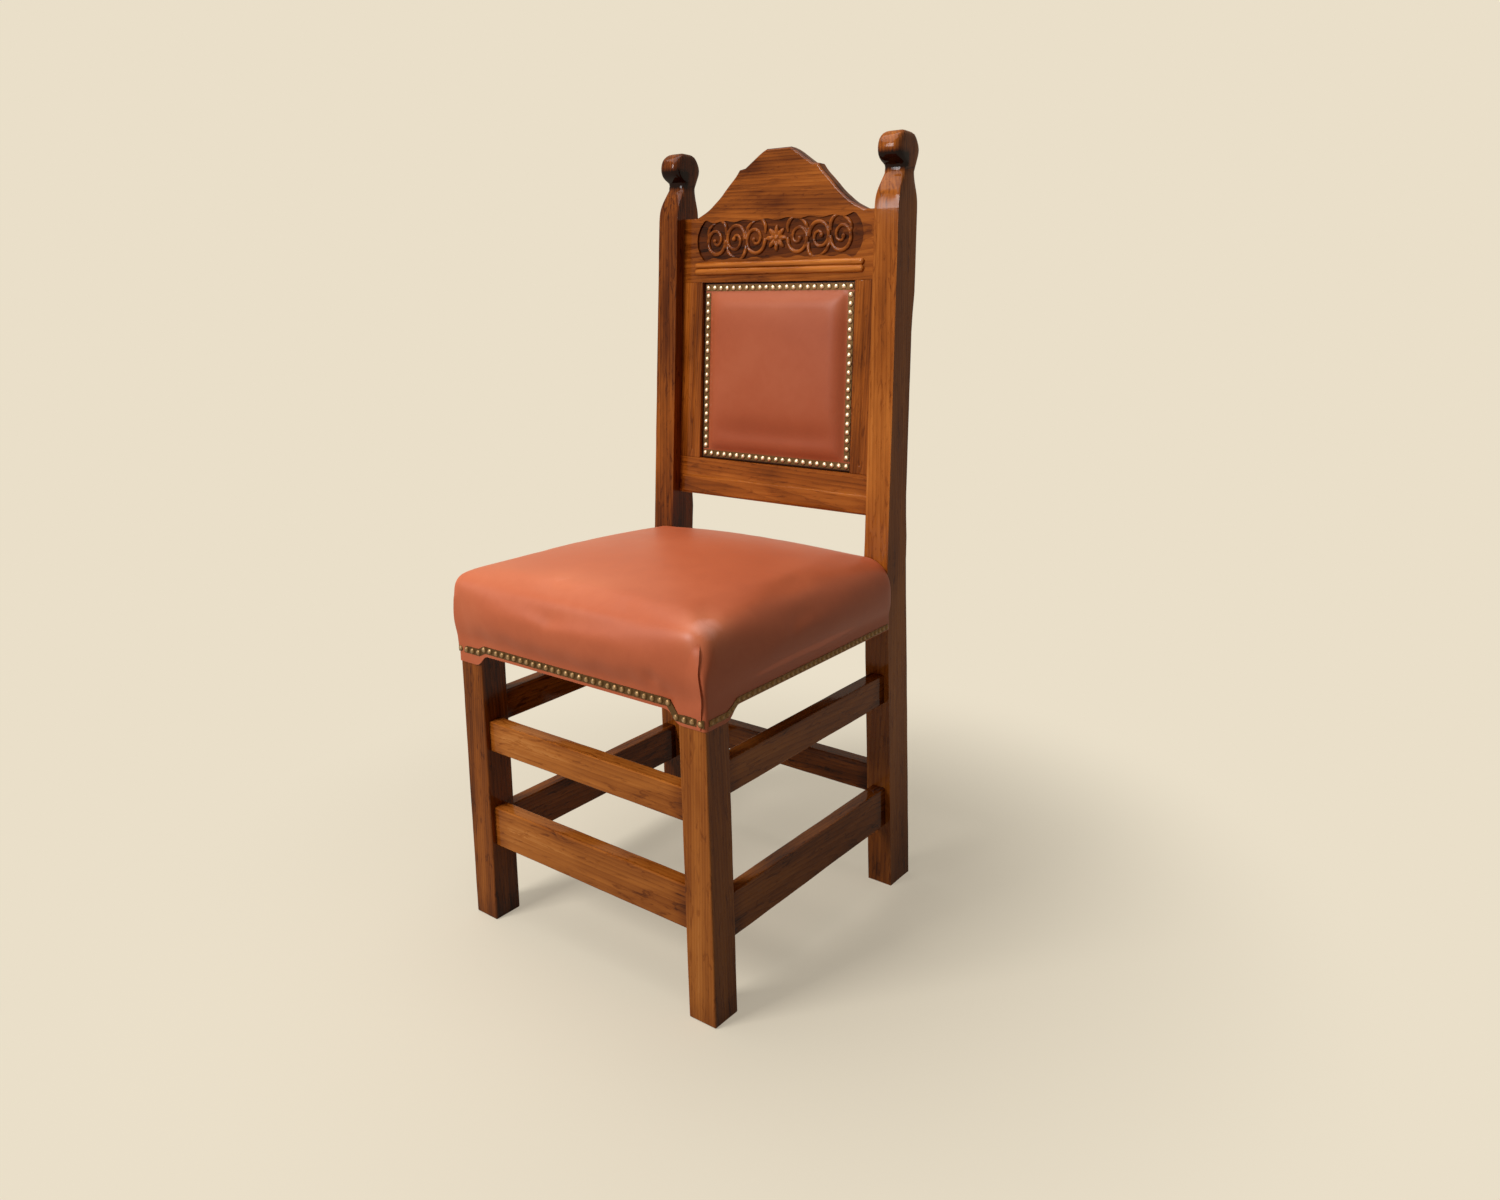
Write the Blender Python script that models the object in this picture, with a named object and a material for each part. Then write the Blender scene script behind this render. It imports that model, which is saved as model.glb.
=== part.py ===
"""Handmade high-back chair with a padded leather seat and back. Lengths are in metres.

The chair faces -Y and +X is the viewer's right. Places are given from the floor (z = 0), the
chair's middle (x = 0) and the front face of the front legs (y = 0). The empty chair_origin then
moves everything so that the origin lies on the floor under the middle of the whole chair.
The pieces of the back are placed on the empty back_rake, which leans with the back posts: there
x is across, y is the depth behind the front face of the posts, and z runs up along the posts.
"""
import math

import bmesh
import bpy
from mathutils import Matrix, Vector

# Clearances
GAP = 0.0003                    # between two faces that touch
TENON_GAP = 0.0004              # round a tenon in its mortise
POST_SLACK = 0.0010             # between the seat's padding and the back posts
FOAM_SLACK = 0.0010             # between the seat foam and its leather
OVERRUN = 0.0100                # how far a cutter runs past what it cuts
SHARP_DEGREES = 45              # edges that turn more than this stay sharp in the shading

# Legs and back posts
FRONT_WIDTH = 0.4600            # over the outer faces of the legs, and of the posts
LEG_SIZE = 0.0440               # front legs are square
POST_WIDTH = 0.0400             # across the chair
POST_DEPTH = 0.0520
POST_SETBACK = 0.4120           # front face of the legs to front face of the posts
ARRIS = 0.0015                  # worn edges of legs and stretchers
BEND_RISE = 0.0330              # from the seat rails up to where the posts begin to lean back
RAKE_DEGREES = 4.5
FINIAL_RISE = 0.1090            # from the crest board's shoulder to the top of the finial
WAIST_DEPTH = 0.0050            # hollow in the back face of a post
WAIST_LOW = 0.0400              # hollow's lower end, above the bend
WAIST_MARGIN = 0.0120           # hollow's upper end, below the crest board
WAIST_RUN = 0.0600              # length over which the hollow fades out

# Scroll finial on each post
SHOULDER_HEIGHT = 0.0540        # convex shoulder under the neck
NECK_CUT = 0.0160               # notch in the front face
NECK_HEIGHT = 0.0040
SCROLL_HEIGHT = 0.0560
SCROLL_FRONT = 0.0030           # scroll past the front face of the post
SCROLL_BACK = 0.0080            # scroll past the back face
BACK_NECK_CUT = 0.0030

# Stretchers
STRETCHER_THICKNESS = 0.0220
UPPER_HEIGHT = 0.0440
LOWER_HEIGHT = 0.0580
BACK_HEIGHT = 0.0440
STRETCHER_RECESS = 0.0080       # behind the outer faces of legs and posts
BACK_RECESS = 0.0150
FRONT_UPPER_LEVEL = 0.2560      # levels are those of the lower edges
FRONT_LOWER_LEVEL = 0.1130
SIDE_UPPER_LEVEL = 0.2860
SIDE_LOWER_LEVEL = 0.0960
BACK_LEVEL = 0.1320

# Tenons
TENON_LENGTH = 0.0180
TENON_THICKNESS = 0.0100
TENON_SHOULDER = 0.0080         # rail's edge to the tenon's edge

# Seat frame
RAIL_LEVEL = 0.4040
RAIL_HEIGHT = 0.0580
RAIL_THICKNESS = 0.0220
BACK_RAIL_RECESS = 0.0040       # behind the front face of the posts
BOARD_THICKNESS = 0.0120
BLOCK_HEIGHT = 0.0400
BLOCK_RISE = 0.0100             # block's underside above the rail's
BLOCK_REACH = 0.0780            # along each rail from the corner where the rails meet
SCREW_RADIUS = 0.0020
SCREW_HEAD_RADIUS = 0.0040
SCREW_HEAD_HEIGHT = 0.0025
SCREW_BITE = 0.0140             # into the rail
BLOCK_SCREW_SEAT = 0.0150       # head's underside from the rail's face
BLOCK_SCREW_PLACE = 0.0480      # from the corner where the rails meet
BOARD_SCREW_SPACING = 0.2400
SCREW_SIDES = 8

# Seat padding
LEATHER = 0.0020
HEM_DROP = 0.0020               # lower edge of the seat's leather, below the rails
FLAP_DROP = 0.0160              # flaps over the legs hang lower
FLAP_RUN = 0.0120               # width of the step between flap and hem
HEM_FLAT = 0.0240               # flat band that the nails hold
SEAT_BULGE = 0.0050
BULGE_RISE = 0.0320             # from the flat band to the full bulge
SEAT_EDGE_RISE = 0.0480         # from the rails up to the foot of the seat's crown
SEAT_CROWN = 0.0310
FRONT_ROLL = 0.0150             # radius of the seat's top edge at the front
BACK_ROLL = 0.0420              # and at the back
SEAT_CORNER = 0.0045            # radius of the upright corners
CROWN_POWER = 2.8

# Back frame, between the posts
PANEL_DEPTH = 0.0180            # front face behind the front of the posts
PANEL_THICKNESS = 0.0200
BACK_GAP = 0.0530               # from the seat's edge up to the bottom rail of the back
BOTTOM_RAIL_HEIGHT = 0.0580
OPENING_HEIGHT = 0.2860         # between the bottom rail and the crest board
STILE_WIDTH = 0.0440
CREST_END_HEIGHT = 0.1080       # height of the crest board at the posts
ARCH_HEIGHT = 0.1015            # arch above that
LIP_HEIGHT = 0.0300             # rounded lip along the bottom rail
LIP_DEPTH = 0.0035
BEAD_HEIGHT = 0.0200            # rounded moulding under the carved band
BEAD_DEPTH = 0.0040
BEAD_RISE = 0.0160              # above the lower edge of the crest board
BEAD_MARGIN = 0.0340            # from the end of the moulding to the post
FIELD_MARGIN = 0.0300           # from the end of the sunk, carved field to the post
FIELD_RISE = 0.0060             # from the moulding up to the field
FIELD_HEIGHT = 0.0580
FIELD_SINK = 0.0025
CREST_TENON_HEIGHT = 0.0700
STILE_TENON_LENGTH = 0.0120
STILE_TENON_SHOULDER = 0.0080
STILE_TENON_THICKNESS = 0.0080

# Back padding
BACK_BOARD_DEPTH = 0.0260       # front face of the board behind the front of the posts
BACK_BOARD_THICKNESS = 0.0080
BACK_BOARD_TONGUE = 0.0070      # board in the groove of the frame
COVER_SLACK = 0.0005            # leather to the edge of the opening
PAD_FLANGE = 0.0150             # flat band of leather under the nails
PAD_RISE = 0.0110               # crown of the pad above its flange

# Nail trim: domed brass heads on a thin brass strip, one strip to a row
NAIL_RADIUS = 0.0048
NAIL_HEIGHT = 0.0034
STRIP_WIDTH = 0.0100
STRIP_THICKNESS = 0.0008
NAIL_PITCH = 0.0130
NAIL_SIDES = 6
FRONT_NAIL_RISE = 0.0125        # above the hem
SIDE_NAIL_RISE = 0.0080
LEFT_NAIL_DIP = 0.0060          # nails over the front legs sit lower
RIGHT_NAIL_DIP = 0.0160
BACK_NAIL_INSET = 0.0090        # from the edge of the opening
NAIL_END = 0.0080               # from the first nail of a row to the corner

# Crest outline, from the arch's foot to its middle: shares of the half width and of the arch
CREST_SHARES = [
    (0.880, 0.000), (0.800, 0.060), (0.735, 0.125), (0.675, 0.210), (0.610, 0.310),
    (0.558, 0.410), (0.510, 0.500), (0.447, 0.615), (0.405, 0.715), (0.345, 0.735),
    (0.255, 0.850), (0.170, 0.955), (0.120, 1.000)]
# Seat's side, from the flat band up: shares of the rise and of the bulge
BULGE_SHARES = [(0.0, 0.0), (0.4, 0.75), (1.0, 1.0)]
# Nail head, from its rim to its top: shares of its radius and height
NAIL_SHARES = [(1.00, 0.00), (0.76, 0.68), (0.00, 1.00)]
# Back pad, from its flange inwards: shares of the flange's width and of the rise
PAD_SHARES = [(1.00, 0.00), (1.25, 0.25), (1.75, 0.60), (2.70, 0.85)]
PAD_STEPS = 6                   # divisions of each side of the back pad
CROWN_SHARES = [0.80, 0.58, 0.32]
ROLL_STEPS = 3
CURVE_STEPS = 5
SCROLL_STEPS = 12
CORNER_STEPS = 2

# Worked out from the sizes above
RAKE = math.radians(RAKE_DEGREES)
HALF_WIDTH = FRONT_WIDTH / 2
POST_INNER = HALF_WIDTH - POST_WIDTH
LEG_INNER = HALF_WIDTH - LEG_SIZE
RAIL_TOP_LEVEL = RAIL_LEVEL + RAIL_HEIGHT
HEM_LEVEL = RAIL_LEVEL - HEM_DROP
SEAT_EDGE_LEVEL = RAIL_TOP_LEVEL + SEAT_EDGE_RISE
BEND_HEIGHT = RAIL_TOP_LEVEL + BEND_RISE
BACK_RAIL_FRONT = POST_SETBACK + BACK_RAIL_RECESS
BACK_RAIL_BACK = BACK_RAIL_FRONT + RAIL_THICKNESS
BOARD_TOP = RAIL_TOP_LEVEL + GAP + BOARD_THICKNESS
SKIN = GAP + LEATHER            # outer face of the leather from the frame's face
# Heights along the leaning posts, from their bend
PANEL_BOTTOM = SEAT_EDGE_LEVEL + BACK_GAP - BEND_HEIGHT
RAIL_TOP = PANEL_BOTTOM + BOTTOM_RAIL_HEIGHT
CREST_BOTTOM = RAIL_TOP + OPENING_HEIGHT
BEAD_LEVEL = CREST_BOTTOM + BEAD_RISE
FIELD_LEVEL = BEAD_LEVEL + BEAD_HEIGHT + FIELD_RISE
CREST_SHOULDER = CREST_BOTTOM + CREST_END_HEIGHT
POST_RISE = CREST_SHOULDER + FINIAL_RISE
WAIST_HIGH = CREST_BOTTOM - WAIST_MARGIN
# Half widths of the back
OPENING_HALF_WIDTH = POST_INNER - STILE_WIDTH
BEAD_HALF_WIDTH = POST_INNER - BEAD_MARGIN
FIELD_HALF_WIDTH = POST_INNER - FIELD_MARGIN


def material(name, colour, roughness, metallic=0.0):
    """A plain Principled material; the colour is linear RGB."""
    made = bpy.data.materials.new(name)
    made.use_nodes = True
    shader = made.node_tree.nodes["Principled BSDF"]
    shader.inputs["Base Color"].default_value = (*colour, 1.0)
    shader.inputs["Roughness"].default_value = roughness
    shader.inputs["Metallic"].default_value = metallic
    return made


def add_object(name, shape, parent, surface=None):
    """Turn a bmesh into an object under parent, with its faces pointing out."""
    bmesh.ops.recalc_face_normals(shape, faces=shape.faces)
    mesh = bpy.data.meshes.new(name)
    shape.to_mesh(mesh)
    shape.free()
    made = bpy.data.objects.new(name, mesh)
    bpy.context.scene.collection.objects.link(made)
    made.parent = parent
    if surface is not None:
        mesh.materials.append(surface)
    return made


def add_guide(name, shape, parent):
    """An object that only cuts or joins: hidden and drawn as wire."""
    made = add_object(name, shape, parent)
    made.hide_render = True
    made.display_type = "WIRE"
    return made


def combine(made, guide, operation):
    """Cut made with guide, or join guide to it."""
    change = made.modifiers.new(operation.lower(), "BOOLEAN")
    change.operation = operation
    change.solver = "EXACT"
    change.object = guide


def smooth(made):
    made.data.shade_smooth()
    made.data.set_sharp_from_angle(angle=math.radians(SHARP_DEGREES))


def add_box(shape, low, high):
    """Add a box between two corners to a bmesh."""
    size = [high[axis] - low[axis] for axis in range(3)]
    middle = [(high[axis] + low[axis]) / 2 for axis in range(3)]
    place = Matrix.Translation(middle) @ Matrix.Diagonal((*size, 1.0))
    bmesh.ops.create_cube(shape, size=1.0, matrix=place)


def box(low, high):
    shape = bmesh.new()
    add_box(shape, low, high)
    return shape


def grown(low, high, amount):
    """The corners of a box that is larger by amount on every side."""
    return [value - amount for value in low], [value + amount for value in high]


def extruded(outline, start, end, to_point):
    """A solid with the outline's points (a, b) from start to end; to_point(a, b, c) places them."""
    shape = bmesh.new()
    rings = []
    for level in (start, end):
        rings.append([shape.verts.new(to_point(a, b, level)) for a, b in outline])
    shape.faces.new(rings[0])
    shape.faces.new(reversed(rings[1]))
    count = len(outline)
    for place in range(count):
        after = (place + 1) % count
        shape.faces.new((rings[0][place], rings[0][after], rings[1][after], rings[1][place]))
    return shape


def add_rings(shape, rings, first, last):
    """Join rings of points into a skin that closes on the points first and last."""
    loops = [[shape.verts.new(point) for point in ring] for ring in rings]
    count = len(loops[0])
    for lower, upper in zip(loops, loops[1:]):
        for place in range(count):
            after = (place + 1) % count
            shape.faces.new((lower[place], lower[after], upper[after]))
            shape.faces.new((lower[place], upper[after], upper[place]))
    for loop, end in ((loops[0], first), (loops[-1], last)):
        pole = shape.verts.new(end)
        for place in range(count):
            shape.faces.new((loop[place], loop[(place + 1) % count], pole))


def add_turned(shape, profile, sides, place):
    """Add a turned solid: profile holds (radius, height) from its first end to its last."""
    rings = []
    for radius, height in profile[1:-1]:
        ring = []
        for step in range(sides):
            angle = 2 * math.pi * step / sides
            ring.append(place @ Vector((radius * math.cos(angle), radius * math.sin(angle), height)))
        rings.append(ring)
    ends = [place @ Vector((0, 0, profile[end][1])) for end in (0, -1)]
    add_rings(shape, rings, ends[0], ends[1])


def facing(point, direction):
    """A placement at point whose +Z runs along direction."""
    turn = Vector(direction).to_track_quat("Z", "Y").to_matrix().to_4x4()
    return Matrix.Translation(point) @ turn


def tenoned_bar(name, length, thickness, height, parent, surface, tenon=None):
    """A bar along its own X with a tenon on each end; its middle is its origin."""
    reach, tongue, shoulder = tenon or (TENON_LENGTH, TENON_THICKNESS, TENON_SHOULDER)
    body = (length / 2, thickness / 2, height / 2)
    neck = (tongue / 2, height / 2 - shoulder)
    shape = bmesh.new()
    loops = []
    for x, half_y, half_z in ((-body[0] - reach, *neck), (-body[0], *neck), (-body[0], body[1], body[2]),
                              (body[0], body[1], body[2]), (body[0], *neck), (body[0] + reach, *neck)):
        corners = ((-half_y, -half_z), (half_y, -half_z), (half_y, half_z), (-half_y, half_z))
        loops.append([shape.verts.new((x, y, z)) for y, z in corners])
    shape.faces.new(loops[0])
    shape.faces.new(loops[-1])
    for lower, upper in zip(loops, loops[1:]):
        for place in range(4):
            after = (place + 1) % 4
            shape.faces.new((lower[place], lower[after], upper[after], upper[place]))
    shape.edges.ensure_lookup_table()
    long_edges = [edge for edge in shape.edges
                  if abs(edge.verts[0].co.x - edge.verts[1].co.x) > length - GAP
                  and edge.calc_length() > length / 2]
    bmesh.ops.bevel(shape, geom=long_edges, offset=ARRIS, segments=1, affect="EDGES")
    return add_object(name, shape, parent, surface)


def raked_point(depth, rise):
    """World (y, z) of a place on the leaning part of a post."""
    y = POST_SETBACK + depth * math.cos(RAKE) + rise * math.sin(RAKE)
    z = BEND_HEIGHT - depth * math.sin(RAKE) + rise * math.cos(RAKE)
    return y, z


def finial_outline():
    """(depth, rise) points of a finial, from the front of its shoulder over to its back."""
    scroll_middle = (POST_DEPTH + SCROLL_BACK - SCROLL_FRONT) / 2
    scroll_half = (POST_DEPTH + SCROLL_BACK + SCROLL_FRONT) / 2
    scroll_level = POST_RISE - SCROLL_HEIGHT / 2
    front_angle = math.acos((scroll_middle - NECK_CUT) / scroll_half)
    back_angle = math.acos((POST_DEPTH - BACK_NECK_CUT - scroll_middle) / scroll_half)
    shoulder = POST_RISE - SCROLL_HEIGHT - NECK_HEIGHT - SHOULDER_HEIGHT
    points = []
    for step in range(CURVE_STEPS + 1):
        angle = math.pi / 2 * step / CURVE_STEPS
        points.append((NECK_CUT * (1 - math.cos(angle)), shoulder + SHOULDER_HEIGHT * math.sin(angle)))
    for step in range(SCROLL_STEPS + 1):
        angle = -front_angle + (math.pi + front_angle + back_angle) * step / SCROLL_STEPS
        points.append((scroll_middle - scroll_half * math.cos(angle),
                       scroll_level + SCROLL_HEIGHT / 2 * math.sin(angle)))
    points.append((POST_DEPTH - BACK_NECK_CUT, shoulder + SHOULDER_HEIGHT / 2))
    points.append((POST_DEPTH, shoulder))
    return points


def post_outline():
    """(y, z) points of a back post, seen from its side."""
    mitre = POST_DEPTH * math.tan(RAKE / 2)
    hollow = POST_DEPTH - WAIST_DEPTH
    leaning = [(0, 0)] + finial_outline() + [
        (POST_DEPTH, WAIST_HIGH), (hollow, WAIST_HIGH - WAIST_RUN),
        (hollow, WAIST_LOW + WAIST_RUN), (POST_DEPTH, WAIST_LOW), (POST_DEPTH, mitre)]
    points = [(POST_SETBACK, 0)]
    points += [raked_point(depth, rise) for depth, rise in leaning]
    points.append((POST_SETBACK + POST_DEPTH, 0))
    return points


def stretcher_plan():
    """Name, middle, run (x or y), height of each stretcher."""
    front_y = STRETCHER_RECESS + STRETCHER_THICKNESS / 2
    side_x = HALF_WIDTH - front_y
    side_y = (LEG_SIZE + POST_SETBACK) / 2
    back_y = POST_SETBACK + BACK_RECESS + STRETCHER_THICKNESS / 2
    upper, lower = UPPER_HEIGHT / 2, LOWER_HEIGHT / 2
    return [
        ("front_stretcher_upper", (0, front_y, FRONT_UPPER_LEVEL + upper), "x", UPPER_HEIGHT),
        ("front_stretcher_lower", (0, front_y, FRONT_LOWER_LEVEL + lower), "x", LOWER_HEIGHT),
        ("side_stretcher_left_upper", (-side_x, side_y, SIDE_UPPER_LEVEL + upper), "y", UPPER_HEIGHT),
        ("side_stretcher_right_upper", (side_x, side_y, SIDE_UPPER_LEVEL + upper), "y", UPPER_HEIGHT),
        ("side_stretcher_left_lower", (-side_x, side_y, SIDE_LOWER_LEVEL + lower), "y", LOWER_HEIGHT),
        ("side_stretcher_right_lower", (side_x, side_y, SIDE_LOWER_LEVEL + lower), "y", LOWER_HEIGHT),
        ("back_stretcher", (0, back_y, BACK_LEVEL + BACK_HEIGHT / 2), "x back", BACK_HEIGHT)]


def seat_rail_plan():
    """Name, middle, run and height of each seat rail."""
    level = RAIL_LEVEL + RAIL_HEIGHT / 2
    side_x = HALF_WIDTH - RAIL_THICKNESS / 2
    side_y = (LEG_SIZE + POST_SETBACK) / 2
    back_y = (BACK_RAIL_FRONT + BACK_RAIL_BACK) / 2
    return [
        ("seat_rail_front", (0, RAIL_THICKNESS / 2, level), "x", RAIL_HEIGHT),
        ("seat_rail_left", (-side_x, side_y, level), "y", RAIL_HEIGHT),
        ("seat_rail_right", (side_x, side_y, level), "y", RAIL_HEIGHT),
        ("seat_rail_back", (0, back_y, level), "x back", RAIL_HEIGHT)]


def span_of(run):
    """Clear length between the legs or posts that a bar joins."""
    if run == "x":
        return 2 * LEG_INNER
    if run == "y":
        return POST_SETBACK - LEG_SIZE
    return 2 * POST_INNER


def tenon_holes(plan):
    """The mortises that the bars in a plan need, as (low, high) corners, both ends of each bar."""
    holes = []
    for _name, middle, run, height in plan:
        half_thick = TENON_THICKNESS / 2 + TENON_GAP
        half_high = height / 2 - TENON_SHOULDER + TENON_GAP
        shoulder = span_of(run) / 2
        for end in (-1, 1):
            near = end * (shoulder - OVERRUN)
            far = end * (shoulder - GAP + TENON_LENGTH + TENON_GAP)
            along = (min(near, far), max(near, far))
            x, y, z = middle
            if run == "y":
                low = (x - half_thick, y + along[0], z - half_high)
                high = (x + half_thick, y + along[1], z + half_high)
            else:
                low = (x + along[0], y - half_thick, z - half_high)
                high = (x + along[1], y + half_thick, z + half_high)
            holes.append((low, high))
    return holes


def make_bars(plan, thickness, parent, surface):
    """One tenoned bar for each line of a plan."""
    for name, middle, run, height in plan:
        bar = tenoned_bar(name, span_of(run) - 2 * GAP, thickness, height, parent, surface)
        bar.location = middle
        if run == "y":
            bar.rotation_euler.z = math.pi / 2


def mortise_guide(name, holes, inside, parent):
    """A guide with those holes whose middle lies in the box inside."""
    low_limit, high_limit = inside
    shape = bmesh.new()
    for low, high in holes:
        ends = [[x, y] for x in (low[0], high[0]) for y in (low[1], high[1])]
        if any(low_limit[0] < x < high_limit[0] and low_limit[1] < y < high_limit[1] for x, y in ends):
            add_box(shape, low, high)
    return add_guide(name, shape, parent)


def make_front_legs(holes, parent, surface):
    for side, label in ((-1, "left"), (1, "right")):
        inner, outer = sorted((side * LEG_INNER, side * HALF_WIDTH))
        shape = box((inner, 0, 0), (outer, LEG_SIZE, RAIL_TOP_LEVEL))
        bmesh.ops.bevel(shape, geom=shape.edges[:], offset=ARRIS, segments=1, affect="EDGES")
        leg = add_object(f"front_leg_{label}", shape, parent, surface)
        inside = ((inner, 0), (outer, LEG_SIZE))
        combine(leg, mortise_guide(f"mortises_leg_{label}", holes, inside, parent), "DIFFERENCE")


def make_back_posts(holes, raked_holes, parent, back_rake, surface):
    raked = bmesh.new()
    for low, high in raked_holes:
        add_box(raked, low, high)
    raked_guide = add_guide("mortises_back_frame", raked, back_rake)
    for side, label in ((-1, "left"), (1, "right")):
        inner, outer = sorted((side * POST_INNER, side * HALF_WIDTH))
        shape = extruded(post_outline(), inner, outer, lambda y, z, x: (x, y, z))
        post = add_object(f"back_post_{label}", shape, parent, surface)
        inside = ((inner, POST_SETBACK), (outer, POST_SETBACK + POST_DEPTH))
        combine(post, mortise_guide(f"mortises_post_{label}", holes, inside, parent), "DIFFERENCE")
        combine(post, raked_guide, "DIFFERENCE")
        smooth(post)


def add_screw(shape, seat, direction, grip, slack=0.0):
    """Add a screw, or with slack its hole, whose head sits at seat and points along direction."""
    shank = SCREW_RADIUS + slack
    head = SCREW_HEAD_RADIUS + slack
    top = -SCREW_HEAD_HEIGHT
    tip = grip + SCREW_BITE
    if slack:
        top = -OVERRUN - grip
    profile = [(0, top), (head, top), (head, slack), (shank, slack),
               (shank, tip - SCREW_HEAD_HEIGHT), (0, tip + slack)]
    add_turned(shape, profile, SCREW_SIDES, facing(seat, direction))


def block_screws():
    """Seat, direction and grip of the two screws in each corner block."""
    places = []
    for side in (-1, 1):
        side_face = side * (HALF_WIDTH - RAIL_THICKNESS)
        for rail_face, inward in ((RAIL_THICKNESS, 1), (BACK_RAIL_FRONT, -1)):
            level = RAIL_LEVEL + BLOCK_RISE + BLOCK_HEIGHT / 2
            across = (side_face - side * BLOCK_SCREW_PLACE, rail_face + inward * BLOCK_SCREW_SEAT, level)
            along = (side_face - side * BLOCK_SCREW_SEAT, rail_face + inward * BLOCK_SCREW_PLACE, level)
            places.append((across, (0, -inward, 0), BLOCK_SCREW_SEAT))
            places.append((along, (side, 0, 0), BLOCK_SCREW_SEAT))
    return places


def board_screws():
    """Seat, direction and grip of the screws that hold the seat board to the rails."""
    grip = BOARD_THICKNESS - SCREW_HEAD_HEIGHT - GAP
    level = RAIL_TOP_LEVEL + GAP + grip
    places = []
    for x in (-BOARD_SCREW_SPACING / 2, BOARD_SCREW_SPACING / 2):
        places.append(((x, RAIL_THICKNESS / 2, level), (0, 0, -1), grip))
        places.append(((x, BACK_RAIL_FRONT + RAIL_THICKNESS / 2, level), (0, 0, -1), grip))
    middle = (LEG_SIZE + POST_SETBACK) / 2
    for side in (-1, 1):
        x = side * (HALF_WIDTH - RAIL_THICKNESS / 2)
        places.append(((x, middle, level), (0, 0, -1), grip))
    return places


def make_screws(name, places, parent, surface):
    """One object for each screw, numbered from 1."""
    for number, (seat, direction, grip) in enumerate(places, start=1):
        shape = bmesh.new()
        add_screw(shape, seat, direction, grip)
        smooth(add_object(f"{name}_{number}", shape, parent, surface))


def make_corner_blocks(parent, surface, screw_holes):
    """Blocks glued and screwed into the corners of the seat frame, notched for leg or post."""
    low = RAIL_LEVEL + BLOCK_RISE
    for side, label in ((-1, "left"), (1, "right")):
        side_face = HALF_WIDTH - RAIL_THICKNESS
        for end, rail_face, inward, notch in (
                ("front", RAIL_THICKNESS, 1, (LEG_INNER, LEG_SIZE)),
                ("back", BACK_RAIL_FRONT, -1, (POST_INNER, POST_SETBACK))):
            face = rail_face + inward * GAP
            edge = side_face - GAP
            notch_x = notch[0] - GAP
            notch_y = notch[1] + inward * GAP
            outline = [
                (side_face - BLOCK_REACH, face), (notch_x, face), (notch_x, notch_y),
                (edge, notch_y), (edge, rail_face + inward * BLOCK_REACH)]
            shape = extruded(outline, low, low + BLOCK_HEIGHT, lambda x, y, z: (side * x, y, z))
            block = add_object(f"corner_block_{end}_{label}", shape, parent, surface)
            combine(block, screw_holes, "DIFFERENCE")


def rounded_path(half_x, front, back, radius, x_stops, y_stops):
    """Points round a rectangle with rounded corners, anticlockwise from the front left."""
    corners = [(-1, front, -1), (1, front, -1), (1, back, 1), (-1, back, 1)]
    starts = [math.pi, -math.pi / 2, 0.0, math.pi / 2]
    stops = [
        [(x, front) for x in x_stops],
        [(half_x, y) for y in y_stops],
        [(x, back) for x in reversed(x_stops)],
        [(-half_x, y) for y in reversed(y_stops)]]
    points = []
    for (side, y, way), start, straight in zip(corners, starts, stops):
        middle = (side * (half_x - radius), y - way * radius)
        for step in range(CORNER_STEPS + 1):
            angle = start + math.pi / 2 * step / CORNER_STEPS
            points.append((middle[0] + radius * math.cos(angle), middle[1] + radius * math.sin(angle)))
        points += straight
    return points


def hem_drop(x, y):
    """How far the seat's hem hangs lower here: flaps cover the legs."""
    if y > LEG_SIZE + FLAP_RUN + SKIN:
        return 0.0
    from_side = HALF_WIDTH - abs(x)
    distance = max(min(y, LEG_SIZE + FLAP_RUN), min(from_side, LEG_SIZE + FLAP_RUN))
    if distance <= LEG_SIZE:
        return FLAP_DROP
    return FLAP_DROP * (LEG_SIZE + FLAP_RUN - distance) / FLAP_RUN


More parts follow.
